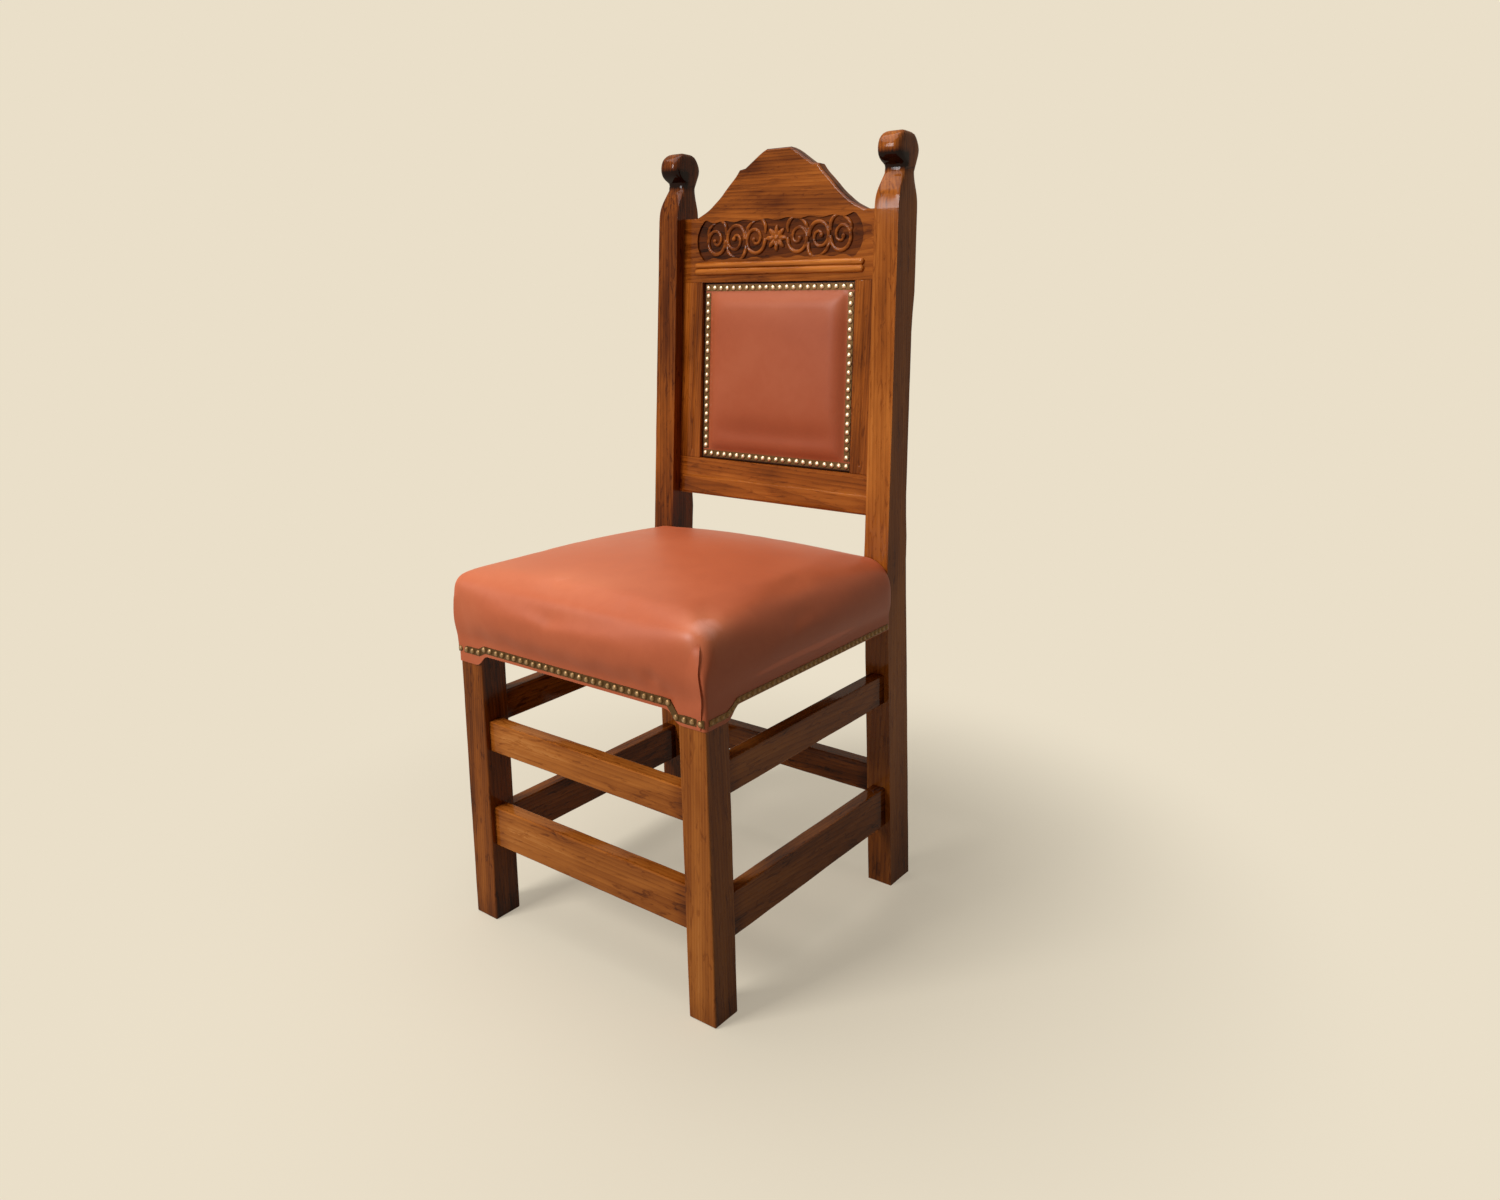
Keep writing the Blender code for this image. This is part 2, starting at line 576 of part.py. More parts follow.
def seat_rings(skin):
    """Rings of the seat's padding, skin metres inside the leather's outer face, hem first."""
    flap_x = [LEG_INNER - FLAP_RUN, LEG_INNER]
    third = LEG_INNER / 3
    x_stops = [-flap_x[1], -flap_x[0], -third, 0, third, flap_x[0], flap_x[1]]
    middle = (LEG_SIZE + POST_SETBACK) / 2
    quarter = (POST_SETBACK - LEG_SIZE) / 4
    y_stops = [LEG_SIZE, LEG_SIZE + FLAP_RUN, middle - quarter, middle, middle + quarter]
    back = BACK_RAIL_BACK + SKIN - skin
    flat_top = HEM_LEVEL + HEM_FLAT
    wall = [(HEM_LEVEL, 0)]
    for up, across in BULGE_SHARES:
        wall.append((flat_top + BULGE_RISE * up, SEAT_BULGE * across))
    rings = []
    for level, bulge in wall:
        out = SKIN - skin + bulge
        path = rounded_path(HALF_WIDTH + out, -out, back + bulge, SEAT_CORNER - skin + bulge,
                            x_stops, y_stops)
        ring = []
        for x, y in path:
            drop = hem_drop(x, y) if level == HEM_LEVEL else 0.0
            ring.append((x, y, level - drop))
        rings.append(ring)
    centre = Vector((0, (back - SKIN) / 2))
    edge = [Vector(point[:2]) for point in rings[-1]]
    for step in range(1, ROLL_STEPS + 1):
        angle = math.pi / 2 * step / ROLL_STEPS
        ring = []
        for point in edge:
            reach = min(max(point.y / back, 0.0), 1.0)
            roll = FRONT_ROLL + (BACK_ROLL - FRONT_ROLL) * reach - skin
            inward = (centre - point).normalized()
            moved = point + inward * roll * (1 - math.cos(angle))
            ring.append((*moved, SEAT_EDGE_LEVEL - skin - roll * (1 - math.sin(angle))))
        rings.append(ring)
    rim = [Vector(point[:2]) - centre for point in rings[-1]]
    half_x = max(point.x for point in rim)
    half_y = max(point.y for point in rim)
    for share in CROWN_SHARES:
        ring = []
        for point in rim:
            x, y = point * share
            crown = (1 - abs(x / half_x) ** CROWN_POWER) * (1 - abs(y / half_y) ** CROWN_POWER)
            ring.append((centre.x + x, centre.y + y, SEAT_EDGE_LEVEL - skin + SEAT_CROWN * crown))
        rings.append(ring)
    pole = (centre.x, centre.y, SEAT_EDGE_LEVEL - skin + SEAT_CROWN)
    return rings, pole


def post_clearance(parent):
    """The space of the two posts, which the seat's padding and board keep clear of."""
    shape = bmesh.new()
    for side in (-1, 1):
        inner, outer = sorted((side * (POST_INNER - POST_SLACK), side * (HALF_WIDTH + BACK_ROLL)))
        add_box(shape, (inner, POST_SETBACK - POST_SLACK, HEM_LEVEL - BACK_ROLL),
                (outer, POST_SETBACK + POST_DEPTH + BACK_ROLL, SEAT_EDGE_LEVEL + BACK_ROLL))
    return add_guide("post_clearance", shape, parent)


def make_seat(parent, wood, foam, leather, board_holes):
    clearance = post_clearance(parent)
    board = add_object(
        "seat_board",
        box((-HALF_WIDTH + GAP, GAP, RAIL_TOP_LEVEL + GAP),
            (HALF_WIDTH - GAP, BACK_RAIL_BACK - GAP, BOARD_TOP)), parent, wood)
    combine(board, clearance, "DIFFERENCE")
    combine(board, board_holes, "DIFFERENCE")

    outer_rings, outer_pole = seat_rings(0.0)
    shape = bmesh.new()
    add_rings(shape, outer_rings, (0, outer_pole[1], HEM_LEVEL), outer_pole)
    cover = add_object("seat_cover", shape, parent, leather)
    inner_rings, inner_pole = seat_rings(LEATHER)
    open_end = HEM_LEVEL - FLAP_DROP - OVERRUN
    inner_rings[0] = [(x, y, open_end) for x, y, z in inner_rings[0]]
    hollow = bmesh.new()
    add_rings(hollow, inner_rings, (0, inner_pole[1], open_end), inner_pole)
    combine(cover, add_guide("seat_cover_hollow", hollow, parent), "DIFFERENCE")
    combine(cover, clearance, "DIFFERENCE")
    smooth(cover)

    foam_rings, foam_pole = seat_rings(LEATHER + FOAM_SLACK)
    foam_level = BOARD_TOP + GAP
    base = []
    for below, above in zip(foam_rings[3], foam_rings[4]):
        share = (foam_level - below[2]) / (above[2] - below[2])
        base.append(Vector(below).lerp(Vector(above), share))
    shape = bmesh.new()
    add_rings(shape, [base] + foam_rings[4:], (0, foam_pole[1], foam_level), foam_pole)
    pad = add_object("seat_foam", shape, parent, foam)
    combine(pad, clearance, "DIFFERENCE")
    smooth(pad)


def from_front(x, rise, depth):
    """Place an outline drawn as the back is seen from the front."""
    return (x, depth, rise)


def from_side(depth, rise, x):
    """Place an outline drawn as the back is seen from the side."""
    return (x, depth, rise)


def crest_outline():
    """(x, rise) points of the crest board, anticlockwise from its lower left corner."""
    half = POST_INNER - GAP
    right = [(half * share, CREST_SHOULDER + ARCH_HEIGHT * rise) for share, rise in CREST_SHARES]
    left = [(-x, rise) for x, rise in reversed(right)]
    return ([(-half, CREST_BOTTOM + GAP), (half, CREST_BOTTOM + GAP), (half, CREST_SHOULDER)]
            + right + left + [(-half, CREST_SHOULDER)])


def moulding(depth, level, height):
    """(depth, rise) points down a rounded moulding on the front of the back frame."""
    points = []
    for step in range(CURVE_STEPS + 1):
        angle = math.pi * step / CURVE_STEPS
        points.append((PANEL_DEPTH - depth * math.sin(angle), level + height * (1 + math.cos(angle)) / 2))
    return points


def bottom_rail_outline():
    """(depth, rise) points of the bottom rail of the back, with its rounded lip."""
    back = PANEL_DEPTH + PANEL_THICKNESS
    return [(back, PANEL_BOTTOM), (back, RAIL_TOP), (PANEL_DEPTH, RAIL_TOP)] + moulding(
        LIP_DEPTH, PANEL_BOTTOM, LIP_HEIGHT)


def crest_tenons():
    """Tenons of the crest board and the bottom rail, as corners in the leaning frame."""
    middle = PANEL_DEPTH + PANEL_THICKNESS / 2
    half_thick = TENON_THICKNESS / 2
    crest_low = CREST_BOTTOM + GAP + TENON_SHOULDER
    levels = [(crest_low, crest_low + CREST_TENON_HEIGHT),
              (PANEL_BOTTOM + TENON_SHOULDER, RAIL_TOP - TENON_SHOULDER)]
    tenons = []
    for low, high in levels:
        for side in (-1, 1):
            inner, outer = sorted((side * (POST_INNER - OVERRUN), side * (POST_INNER - GAP + TENON_LENGTH)))
            tenons.append(((inner, middle - half_thick, low), (outer, middle + half_thick, high)))
    return tenons


def make_back_frame(parent, surface):
    """Crest board, bottom rail and stiles, with the groove that holds the back board."""
    back = PANEL_DEPTH + PANEL_THICKNESS
    half = POST_INNER - GAP
    crest = add_object(
        "crest_board", extruded(crest_outline(), PANEL_DEPTH, back, from_front), parent, surface)
    rail = add_object(
        "back_bottom_rail", extruded(bottom_rail_outline(), -half, half, from_side), parent, surface)

    tenons = crest_tenons()
    for piece, own in ((crest, tenons[:2]), (rail, tenons[2:])):
        shape = bmesh.new()
        for low, high in own:
            add_box(shape, low, high)
        combine(piece, add_guide(f"tenons_{piece.name}", shape, parent), "UNION")

    root = PANEL_DEPTH + BEAD_DEPTH
    bead = moulding(BEAD_DEPTH, BEAD_LEVEL, BEAD_HEIGHT)
    bead += [(root, BEAD_LEVEL), (root, BEAD_LEVEL + BEAD_HEIGHT)]
    shape = extruded(bead, -BEAD_HALF_WIDTH, BEAD_HALF_WIDTH, from_side)
    combine(crest, add_guide("crest_bead", shape, parent), "UNION")
    field = box((-FIELD_HALF_WIDTH, PANEL_DEPTH - OVERRUN, FIELD_LEVEL),
                (FIELD_HALF_WIDTH, PANEL_DEPTH + FIELD_SINK, FIELD_LEVEL + FIELD_HEIGHT))
    combine(crest, add_guide("crest_field", field, parent), "DIFFERENCE")

    stile_width = STILE_WIDTH - GAP
    stile_length = CREST_BOTTOM - RAIL_TOP - GAP
    stile_x = OPENING_HALF_WIDTH + stile_width / 2
    stile_level = (CREST_BOTTOM + GAP + RAIL_TOP) / 2
    depth = PANEL_DEPTH + PANEL_THICKNESS / 2
    tenon = (STILE_TENON_LENGTH, STILE_TENON_THICKNESS, STILE_TENON_SHOULDER)
    sockets = bmesh.new()
    pieces = [crest, rail]
    for side, label in ((-1, "left"), (1, "right")):
        stile = tenoned_bar(f"back_stile_{label}", stile_length - GAP, PANEL_THICKNESS, stile_width,
                            parent, surface, tenon)
        stile.location = (side * stile_x, depth, stile_level)
        stile.rotation_euler.y = math.pi / 2
        pieces.append(stile)
        reach = stile_length / 2 + STILE_TENON_LENGTH + TENON_GAP
        half_width = stile_width / 2 - STILE_TENON_SHOULDER + TENON_GAP
        half_thick = STILE_TENON_THICKNESS / 2 + TENON_GAP
        add_box(sockets, (side * stile_x - half_width, depth - half_thick, stile_level - reach),
                (side * stile_x + half_width, depth + half_thick, stile_level + reach))
    socket_guide = add_guide("stile_sockets", sockets, parent)
    for piece in (crest, rail):
        combine(piece, socket_guide, "DIFFERENCE")

    reach = BACK_BOARD_TONGUE + GAP
    groove = box(
        (-OPENING_HALF_WIDTH - reach, BACK_BOARD_DEPTH - GAP, RAIL_TOP - reach),
        (OPENING_HALF_WIDTH + reach, BACK_BOARD_DEPTH + BACK_BOARD_THICKNESS + GAP, CREST_BOTTOM + GAP + reach))
    groove_guide = add_guide("back_board_groove", groove, parent)
    for piece in pieces:
        combine(piece, groove_guide, "DIFFERENCE")


def pad_ring(inset, height):
    """Points round the back pad, inset from its edge, height in front of the back board."""
    half = OPENING_HALF_WIDTH - COVER_SLACK - inset
    low = RAIL_TOP + COVER_SLACK + inset
    high = CREST_BOTTOM + GAP - COVER_SLACK - inset
    depth = BACK_BOARD_DEPTH - GAP - height
    corners = [(-half, low), (half, low), (half, high), (-half, high)]
    ring = []
    for place, start in enumerate(corners):
        end = corners[(place + 1) % 4]
        for step in range(PAD_STEPS):
            share = step / PAD_STEPS
            ring.append((start[0] + (end[0] - start[0]) * share, depth,
                         start[1] + (end[1] - start[1]) * share))
    return ring


def make_back_pad(parent, wood, foam, leather):
    tongue = BACK_BOARD_TONGUE
    board = box((-OPENING_HALF_WIDTH - tongue, BACK_BOARD_DEPTH, RAIL_TOP - tongue),
                (OPENING_HALF_WIDTH + tongue, BACK_BOARD_DEPTH + BACK_BOARD_THICKNESS,
                 CREST_BOTTOM + GAP + tongue))
    add_object("back_board", board, parent, wood)

    centre_rise = (RAIL_TOP + CREST_BOTTOM + GAP) / 2
    front = BACK_BOARD_DEPTH - GAP
    outer = [pad_ring(0, 0), pad_ring(0, LEATHER)]
    inner = []
    foam_rings = []
    for across, up in PAD_SHARES:
        inset = PAD_FLANGE * across
        outer.append(pad_ring(inset, LEATHER + PAD_RISE * up))
        inner.append(pad_ring(inset + LEATHER, PAD_RISE * up))
        foam_rings.append(pad_ring(inset + LEATHER + GAP, PAD_RISE * up - (GAP if up else 0)))
    shape = bmesh.new()
    loops = [[shape.verts.new(point) for point in ring] for ring in reversed(inner)]
    loops += [[shape.verts.new(point) for point in ring] for ring in outer]
    count = len(loops[0])
    for lower, upper in zip(loops, loops[1:]):
        for place in range(count):
            after = (place + 1) % count
            shape.faces.new((lower[place], lower[after], upper[after], upper[place]))
    for loop, height in ((loops[0], PAD_RISE), (loops[-1], PAD_RISE + LEATHER)):
        pole = shape.verts.new((0, front - height, centre_rise))
        for place in range(count):
            shape.faces.new((loop[place], loop[(place + 1) % count], pole))
    smooth(add_object("back_cover", shape, parent, leather))

    shape = bmesh.new()
    add_rings(shape, foam_rings, (0, front, centre_rise), (0, front - PAD_RISE + GAP, centre_rise))
    smooth(add_object("back_foam", shape, parent, foam))


def spread(start, end):
    """Evenly spaced places from start to end, about one nail pitch apart."""
    count = max(round(abs(end - start) / NAIL_PITCH), 1)
    return [start + (end - start) * step / count for step in range(count + 1)]


def make_nail_strip(name, path, places, to_point, outward, parent, surface):
    """A strip along path with a domed nail head at each of places.

    path and places hold (a, b) in the plane that the strip lies on. to_point(a, b, out) places
    a point out metres in front of that plane, and outward is the direction that out runs in.
    """
    upper = [(a, b + STRIP_WIDTH / 2) for a, b in path]
    lower = [(a, b - STRIP_WIDTH / 2) for a, b in reversed(path)]
    strip = add_object(name, extruded(upper + lower, 0, STRIP_THICKNESS, to_point), parent, surface)
    heads = bmesh.new()
    profile = [(0, 0)] + [(NAIL_RADIUS * out, NAIL_HEIGHT * up) for out, up in NAIL_SHARES]
    for a, b in places:
        add_turned(heads, profile, NAIL_SIDES, facing(to_point(a, b, STRIP_THICKNESS / 2), outward))
    combine(strip, add_guide(f"heads_{name}", heads, parent), "UNION")
    smooth(strip)


def nail_level(rise, distance, dip):
    """Height of a nail this far from the seat's front corner."""
    share = (LEG_SIZE + FLAP_RUN - distance) / FLAP_RUN
    return HEM_LEVEL + rise - dip * min(max(share, 0.0), 1.0)


def make_seat_nails(parent, surface):
    """Rows along the hem of the seat's leather, on its flat band."""
    out = SKIN + GAP
    bends = [LEG_SIZE, LEG_SIZE + FLAP_RUN]

    def front_level(x):
        dip = LEFT_NAIL_DIP if x < 0 else RIGHT_NAIL_DIP
        return nail_level(FRONT_NAIL_RISE, HALF_WIDTH - abs(x), dip)

    ends = [-HALF_WIDTH] + [bend - HALF_WIDTH for bend in bends]
    xs = ends + [-x for x in reversed(ends)]
    make_nail_strip(
        "seat_nail_strip_front", [(x, front_level(x)) for x in xs],
        [(x, front_level(x)) for x in spread(-HALF_WIDTH + NAIL_END, HALF_WIDTH - NAIL_END)],
        lambda a, b, depth: (a, -out - depth, b), (0, -1, 0), parent, surface)

    for side, label, dip in ((-1, "left", LEFT_NAIL_DIP), (1, "right", RIGHT_NAIL_DIP)):
        side_dip = dip - FRONT_NAIL_RISE + SIDE_NAIL_RISE

        def side_level(y):
            return nail_level(SIDE_NAIL_RISE, y, side_dip)

        ys = [0] + bends + [POST_SETBACK - POST_SLACK]
        make_nail_strip(
            f"seat_nail_strip_{label}", [(y, side_level(y)) for y in ys],
            [(y, side_level(y)) for y in spread(NAIL_END, POST_SETBACK - NAIL_END)],
            lambda a, b, depth: (side * (HALF_WIDTH + out + depth), a, b), (side, 0, 0), parent, surface)

    level = HEM_LEVEL + SIDE_NAIL_RISE
    half = POST_INNER - NAIL_END
    make_nail_strip(
        "seat_nail_strip_back", [(-half, level), (half, level)],
        [(x, level) for x in spread(-half + NAIL_END, half - NAIL_END)],
        lambda a, b, depth: (a, BACK_RAIL_BACK + out + depth, b), (0, 1, 0), parent, surface)


def make_back_nails(parent, surface):
    """Rows round the back pad, on the flat edge of its leather."""
    face = BACK_BOARD_DEPTH - 2 * GAP - LEATHER
    half = OPENING_HALF_WIDTH - BACK_NAIL_INSET
    low = RAIL_TOP + BACK_NAIL_INSET
    high = CREST_BOTTOM + GAP - BACK_NAIL_INSET
    end = STRIP_WIDTH / 2

    def across(a, b, depth):
        return (a, face - depth, b)

    def upright(a, b, depth):
        return (b, face - depth, a)

    for label, rise in (("bottom", low), ("top", high)):
        make_nail_strip(
            f"back_nail_strip_{label}", [(-half - end, rise), (half + end, rise)],
            [(x, rise) for x in spread(-half, half)], across, (0, -1, 0), parent, surface)
    inner = spread(low, high)[1:-1]
    for label, x in (("left", -half), ("right", half)):
        make_nail_strip(
            f"back_nail_strip_{label}", [(inner[0] - end, x), (inner[-1] + end, x)],
            [(rise, x) for rise in inner], upright, (0, -1, 0), parent, surface)


def chair_middle():
    """World y of the middle of the whole chair, from the seat's front to the finials' backs."""
    front = -(SKIN + SEAT_BULGE)
    back = max(y for y, z in post_outline())
    return (front + back) / 2


def main():
    for old in list(bpy.data.objects):
        bpy.data.objects.remove(old)
    wood = material("varnished_wood", (0.30, 0.11, 0.03), 0.30)
    plywood = material("plain_wood", (0.45, 0.28, 0.14), 0.65)
    leather = material("terracotta_leather", (0.42, 0.12, 0.06), 0.42)
    foam = material("foam", (0.80, 0.72, 0.48), 0.95)
    brass = material("antique_brass", (0.60, 0.45, 0.22), 0.35, 1.0)
    steel = material("zinc_steel", (0.60, 0.60, 0.58), 0.35, 1.0)

    origin = bpy.data.objects.new("chair_origin", None)
    bpy.context.scene.collection.objects.link(origin)
    origin.location = (0, -chair_middle(), 0)
    back_rake = bpy.data.objects.new("back_rake", None)
    bpy.context.scene.collection.objects.link(back_rake)
    back_rake.parent = origin
    back_rake.location = (0, POST_SETBACK, BEND_HEIGHT)
    back_rake.rotation_euler.x = -RAKE

    holes = tenon_holes(stretcher_plan() + seat_rail_plan())
    raked_holes = [grown(low, high, TENON_GAP) for low, high in crest_tenons()]
    make_front_legs(holes, origin, wood)
    make_back_posts(holes, raked_holes, origin, back_rake, wood)
    make_bars(stretcher_plan(), STRETCHER_THICKNESS, origin, wood)
    make_bars(seat_rail_plan(), RAIL_THICKNESS, origin, plywood)

    screw_shape = bmesh.new()
    for seat, direction, grip in block_screws():
        add_screw(screw_shape, seat, direction, grip, GAP)
    block_holes = add_guide("block_screw_holes", screw_shape, origin)
    screw_shape = bmesh.new()
    for seat, direction, grip in board_screws():
        add_screw(screw_shape, seat, direction, grip, GAP)
    board_holes = add_guide("board_screw_holes", screw_shape, origin)
    for name, _middle, _run, _height in seat_rail_plan():
        rail = bpy.data.objects[name]
        combine(rail, block_holes, "DIFFERENCE")
        combine(rail, board_holes, "DIFFERENCE")
    make_corner_blocks(origin, plywood, block_holes)
    make_screws("corner_block_screw", block_screws(), origin, steel)
    make_screws("seat_board_screw", board_screws(), origin, steel)
    make_seat(origin, plywood, foam, leather, board_holes)
    make_seat_nails(origin, brass)

    make_back_frame(back_rake, wood)
    make_back_pad(back_rake, plywood, foam, leather)
    make_back_nails(back_rake, brass)


main()
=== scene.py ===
"""Looks of a handmade high-back chair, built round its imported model. Lengths are in metres.

The chair faces -Y, +Z is up, and left and right are those of a viewer who looks at its front.
The pieces of the back are made lying on a bench: there x is across the chair, y runs up along
the back posts from their bend, and z = 0 is the front face of the posts.
"""
import math
import random

import bmesh
import bpy
from mathutils import Matrix, Vector


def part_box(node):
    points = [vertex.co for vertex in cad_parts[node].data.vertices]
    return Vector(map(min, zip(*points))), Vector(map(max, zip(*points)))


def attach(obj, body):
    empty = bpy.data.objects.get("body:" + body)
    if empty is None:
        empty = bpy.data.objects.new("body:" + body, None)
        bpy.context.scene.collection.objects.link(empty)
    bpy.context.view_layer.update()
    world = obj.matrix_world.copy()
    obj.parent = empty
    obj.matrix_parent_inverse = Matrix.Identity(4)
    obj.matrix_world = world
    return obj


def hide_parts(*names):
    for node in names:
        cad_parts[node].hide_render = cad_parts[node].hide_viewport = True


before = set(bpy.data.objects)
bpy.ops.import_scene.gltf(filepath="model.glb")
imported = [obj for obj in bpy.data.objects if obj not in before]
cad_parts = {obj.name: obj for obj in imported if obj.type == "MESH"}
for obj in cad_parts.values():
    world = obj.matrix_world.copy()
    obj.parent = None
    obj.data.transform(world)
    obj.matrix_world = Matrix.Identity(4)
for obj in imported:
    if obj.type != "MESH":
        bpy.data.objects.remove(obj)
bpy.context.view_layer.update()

# Front legs. Square legs of stained softwood under a thick gloss varnish, planed by hand, with
# their arrises rubbed round. Rails and stretchers are tenoned into them, and the leather of the
# seat is nailed over their tops.
LEG_ARRIS = 0.0024
LEG_SHADES = {"left": -0.13, "right": 0.07}      # the left leg is darker, the right one paler
PLANING_DEPTH = 0.0009          # how far a hand-planed face wanders
PLANING_LENGTH = 0.055          # and over what length
PATCH = 0.022                   # length of the patches that its mesh is cut into
NEAR = 0.0001                   # a point this close to a place is taken to be there
RING_SPACING = 0.0042           # growth rings of the softwood
PITH = (0.055, 0.030, 0.0)      # the pieces are sawn this far from the middle of the log
STAIN = (                       # depth of the stain: darkest to palest
    (0.00, (0.010, 0.0014, 0.0002)), (0.25, (0.100, 0.0200, 0.0020)), (0.50, (0.290, 0.0740, 0.0080)),
    (0.75, (0.480, 0.1480, 0.0220)), (1.00, (0.680, 0.2700, 0.0650)))


class Number:
    """A shader value on which Python's operators add Math nodes."""

    def __init__(self, shading, socket):
        self.shading = shading
        self.socket = socket

    def math(self, operation, *values):
        return self.shading.node("Math", {"operation": operation}, dict(enumerate(values)))

    def __add__(self, other):
        return self.math("ADD", self, other)

    def __radd__(self, other):
        return self.math("ADD", other, self)

    def __sub__(self, other):
        return self.math("SUBTRACT", self, other)

    def __rsub__(self, other):
        return self.math("SUBTRACT", other, self)

    def __mul__(self, other):
        return self.math("MULTIPLY", self, other)

    def __truediv__(self, other):
        return self.math("DIVIDE", self, other)

    def __pow__(self, other):
        return self.math("POWER", self, other)

    def __abs__(self):
        return self.math("ABSOLUTE", self)

    def between(self, low, high):
        """0 below low, 1 above high, and a smooth step in between."""
        return self.shading.node("MapRange", {"interpolation_type": "SMOOTHSTEP"},
                                 {"Value": self, "From Min": low, "From Max": high})


class Shading:
    """A tree of shader nodes. node() adds one and gives back one of its outputs."""

    def __init__(self, tree):
        self.tree = tree

    def join(self, socket, value):
        if isinstance(value, Number):
            self.tree.links.new(value.socket, socket)
        elif socket.type == "RGBA":
            socket.default_value = (*value, 1.0)
        else:
            socket.default_value = value

    def node(self, kind, settings=None, values=None, output=0):
        made = self.tree.nodes.new("ShaderNode" + kind)
        for name, setting in (settings or {}).items():
            if name == "stops":
                stops = made.color_ramp.elements
                while len(stops) < len(setting):
                    stops.new(1.0)
                for stop, (place, colour) in zip(stops, setting):
                    stop.position = place
                    stop.color = (*colour, 1.0)
            else:
                setattr(made, name, setting)
        for name, value in (values or {}).items():
            self.join(made.inputs[name], value)
        return Number(self, made.outputs[output])

    def noise(self, place, scales, detail=2.0, distortion=0.0, roughness=0.5):
        """Noise from 0 to 1 with its own scale, in waves per metre, along each axis."""
        stretched = self.node("VectorMath", {"operation": "MULTIPLY"}, {0: place, 1: scales})
        return self.node("TexNoise", {}, {"Vector": stretched, "Scale": 1.0, "Detail": detail,
                                          "Distortion": distortion, "Roughness": roughness})


class Surface(Shading):
    """A procedural finish."""

    def __init__(self, name, roughness, metallic=0.0):
        self.material = bpy.data.materials.new(name)
        self.material.use_nodes = True
        super().__init__(self.material.node_tree)
        self.shader = self.tree.nodes["Principled BSDF"]
        self.set(roughness, "Roughness")
        self.set(metallic, "Metallic")

    def set(self, value, name):
        self.join(self.shader.inputs[name], value)

    def bump(self, height, distance, strength):
        normal = self.node("Bump", {}, {"Height": height, "Distance": distance, "Strength": strength})
        self.set(normal, "Normal")


def saw(wood, along, middle, tilt, squeeze, **waves):
    """Place along the grain of a piece, and its growth rings: 0 early to 1 late in each year."""
    turn = Vector(along).to_track_quat("Z", "Y").to_euler()
    place = wood.node("TexCoord", {}, {}, "Object")
    grain = wood.node("Mapping", {"vector_type": "TEXTURE"},
                      {"Vector": place, "Location": middle, "Rotation": turn})
    log = wood.node("Mapping", {"vector_type": "POINT"},
                    {"Vector": grain, "Location": PITH, "Rotation": (0.0, tilt, 0.0),
                     "Scale": (1.0, 1.0, squeeze)})
    settings = {name.replace("_", " "): value for name, value in waves.items()}
    rings = wood.node("TexWave", {"wave_type": "RINGS", "rings_direction": "Z", "wave_profile": "SAW"},
                      {"Vector": log, "Scale": 2 * math.pi / (20 * RING_SPACING), **settings}, "Fac")
    return grain, rings


def varnished_wood(name, along, middle, half_length, shade=0.0, tilt=0.35, patches=0.16, ends=0.22,
                   sunk=0.0):
    """Stained softwood with its grain along a direction, darker at its ends, under gloss varnish.

    Where the piece's shading attribute is 1, the colour is darker by the given amount, as painted
    shade, and where it is below 0 it is paler, as a painted highlight."""
    wood = Surface(name, 0.42)
    grain, rings = saw(wood, along, middle, tilt, 0.07, Distortion=5.0, Detail=3.0, Detail_Scale=0.32,
                       Detail_Roughness=0.6)
    late = rings ** 2.2
    fibre = wood.noise(grain, (420.0, 420.0, 9.0), 3.0)
    streak = wood.noise(grain, (75.0, 75.0, 2.6), 3.0, 0.4)
    cloud = wood.noise(grain, (17.0, 17.0, 5.0), 4.0, 0.6)
    brush = wood.noise(grain, (120.0, 120.0, 24.0), 4.0, 1.4, 0.62).between(0.54, 0.68)
    split = wood.node("SeparateXYZ", {}, {"Vector": grain}, "Z")
    wander = wood.noise(grain, (60.0, 60.0, 20.0), 3.0)
    end = (abs(split) / half_length + (wander - 0.5) * 0.10).between(0.80, 1.02)
    tone = (0.58 + shade - late * 0.12 + (fibre - 0.5) * 0.18 + (streak - 0.5) * 0.50
            + (cloud - 0.5) * 0.70 - brush * patches - end * ends)
    # painted shade where the shading attribute is above 0, painted highlight where it is below 0
    if sunk:
        tone = tone - wood.node("Attribute", {"attribute_name": "hollow"}, {}, "Fac") * sunk
    colour = wood.node("ValToRGB", {"stops": STAIN}, {"Fac": tone})
    wood.set(colour, "Base Color")
    wood.set(0.34 + (cloud - 0.5) * 0.2 + late * 0.06, "Roughness")
    wood.set(0.0, "Specular IOR Level")
    wood.set(0.26, "Coat Weight")
    wood.set(0.09, "Coat Roughness")
    wood.set(1.55, "Coat IOR")
    scraped = wood.noise(grain, (48.0, 48.0, 4.0), 1.0)
    wood.bump(fibre * 0.2 + late * 0.2 - brush * 0.2 + scraped * 1.4, 0.0012, 0.40)
    return wood


def add_block(name, low, high):
    """Add a block between two corners. It is then the only selected piece, and the active one."""
    low, high = Vector(low), Vector(high)
    bpy.ops.mesh.primitive_cube_add(size=1.0, location=(low + high) / 2, scale=high - low)
    piece = bpy.context.object
    piece.name = name
    bpy.ops.object.transform_apply()
    return piece


def pick(kind, wanted):
    """In edit mode, select the vertices, edges or faces (VERT, EDGE, FACE) that are wanted."""
    bpy.ops.mesh.select_mode(type=kind)
    bpy.ops.mesh.select_all(action="DESELECT")
    shape = bmesh.from_edit_mesh(bpy.context.object.data)
    for element in {"VERT": shape.verts, "EDGE": shape.edges, "FACE": shape.faces}[kind]:
        if wanted(element):
            element.select_set(True)
    shape.select_flush_mode()
    bmesh.update_edit_mesh(bpy.context.object.data)


def runs_along(edge, axis):
    """Whether an edge runs along one of the three axes."""
    line = edge.verts[1].co - edge.verts[0].co
    return abs(line[axis]) > 0.9 * line.length


def change(piece, kind, **settings):
    """Add a modifier to a piece and apply it."""
    bpy.context.view_layer.objects.active = piece
    added = piece.modifiers.new(kind.lower(), kind)
    for name, value in settings.items():
        setattr(added, name, value)
    bpy.ops.object.modifier_apply(modifier=added.name)


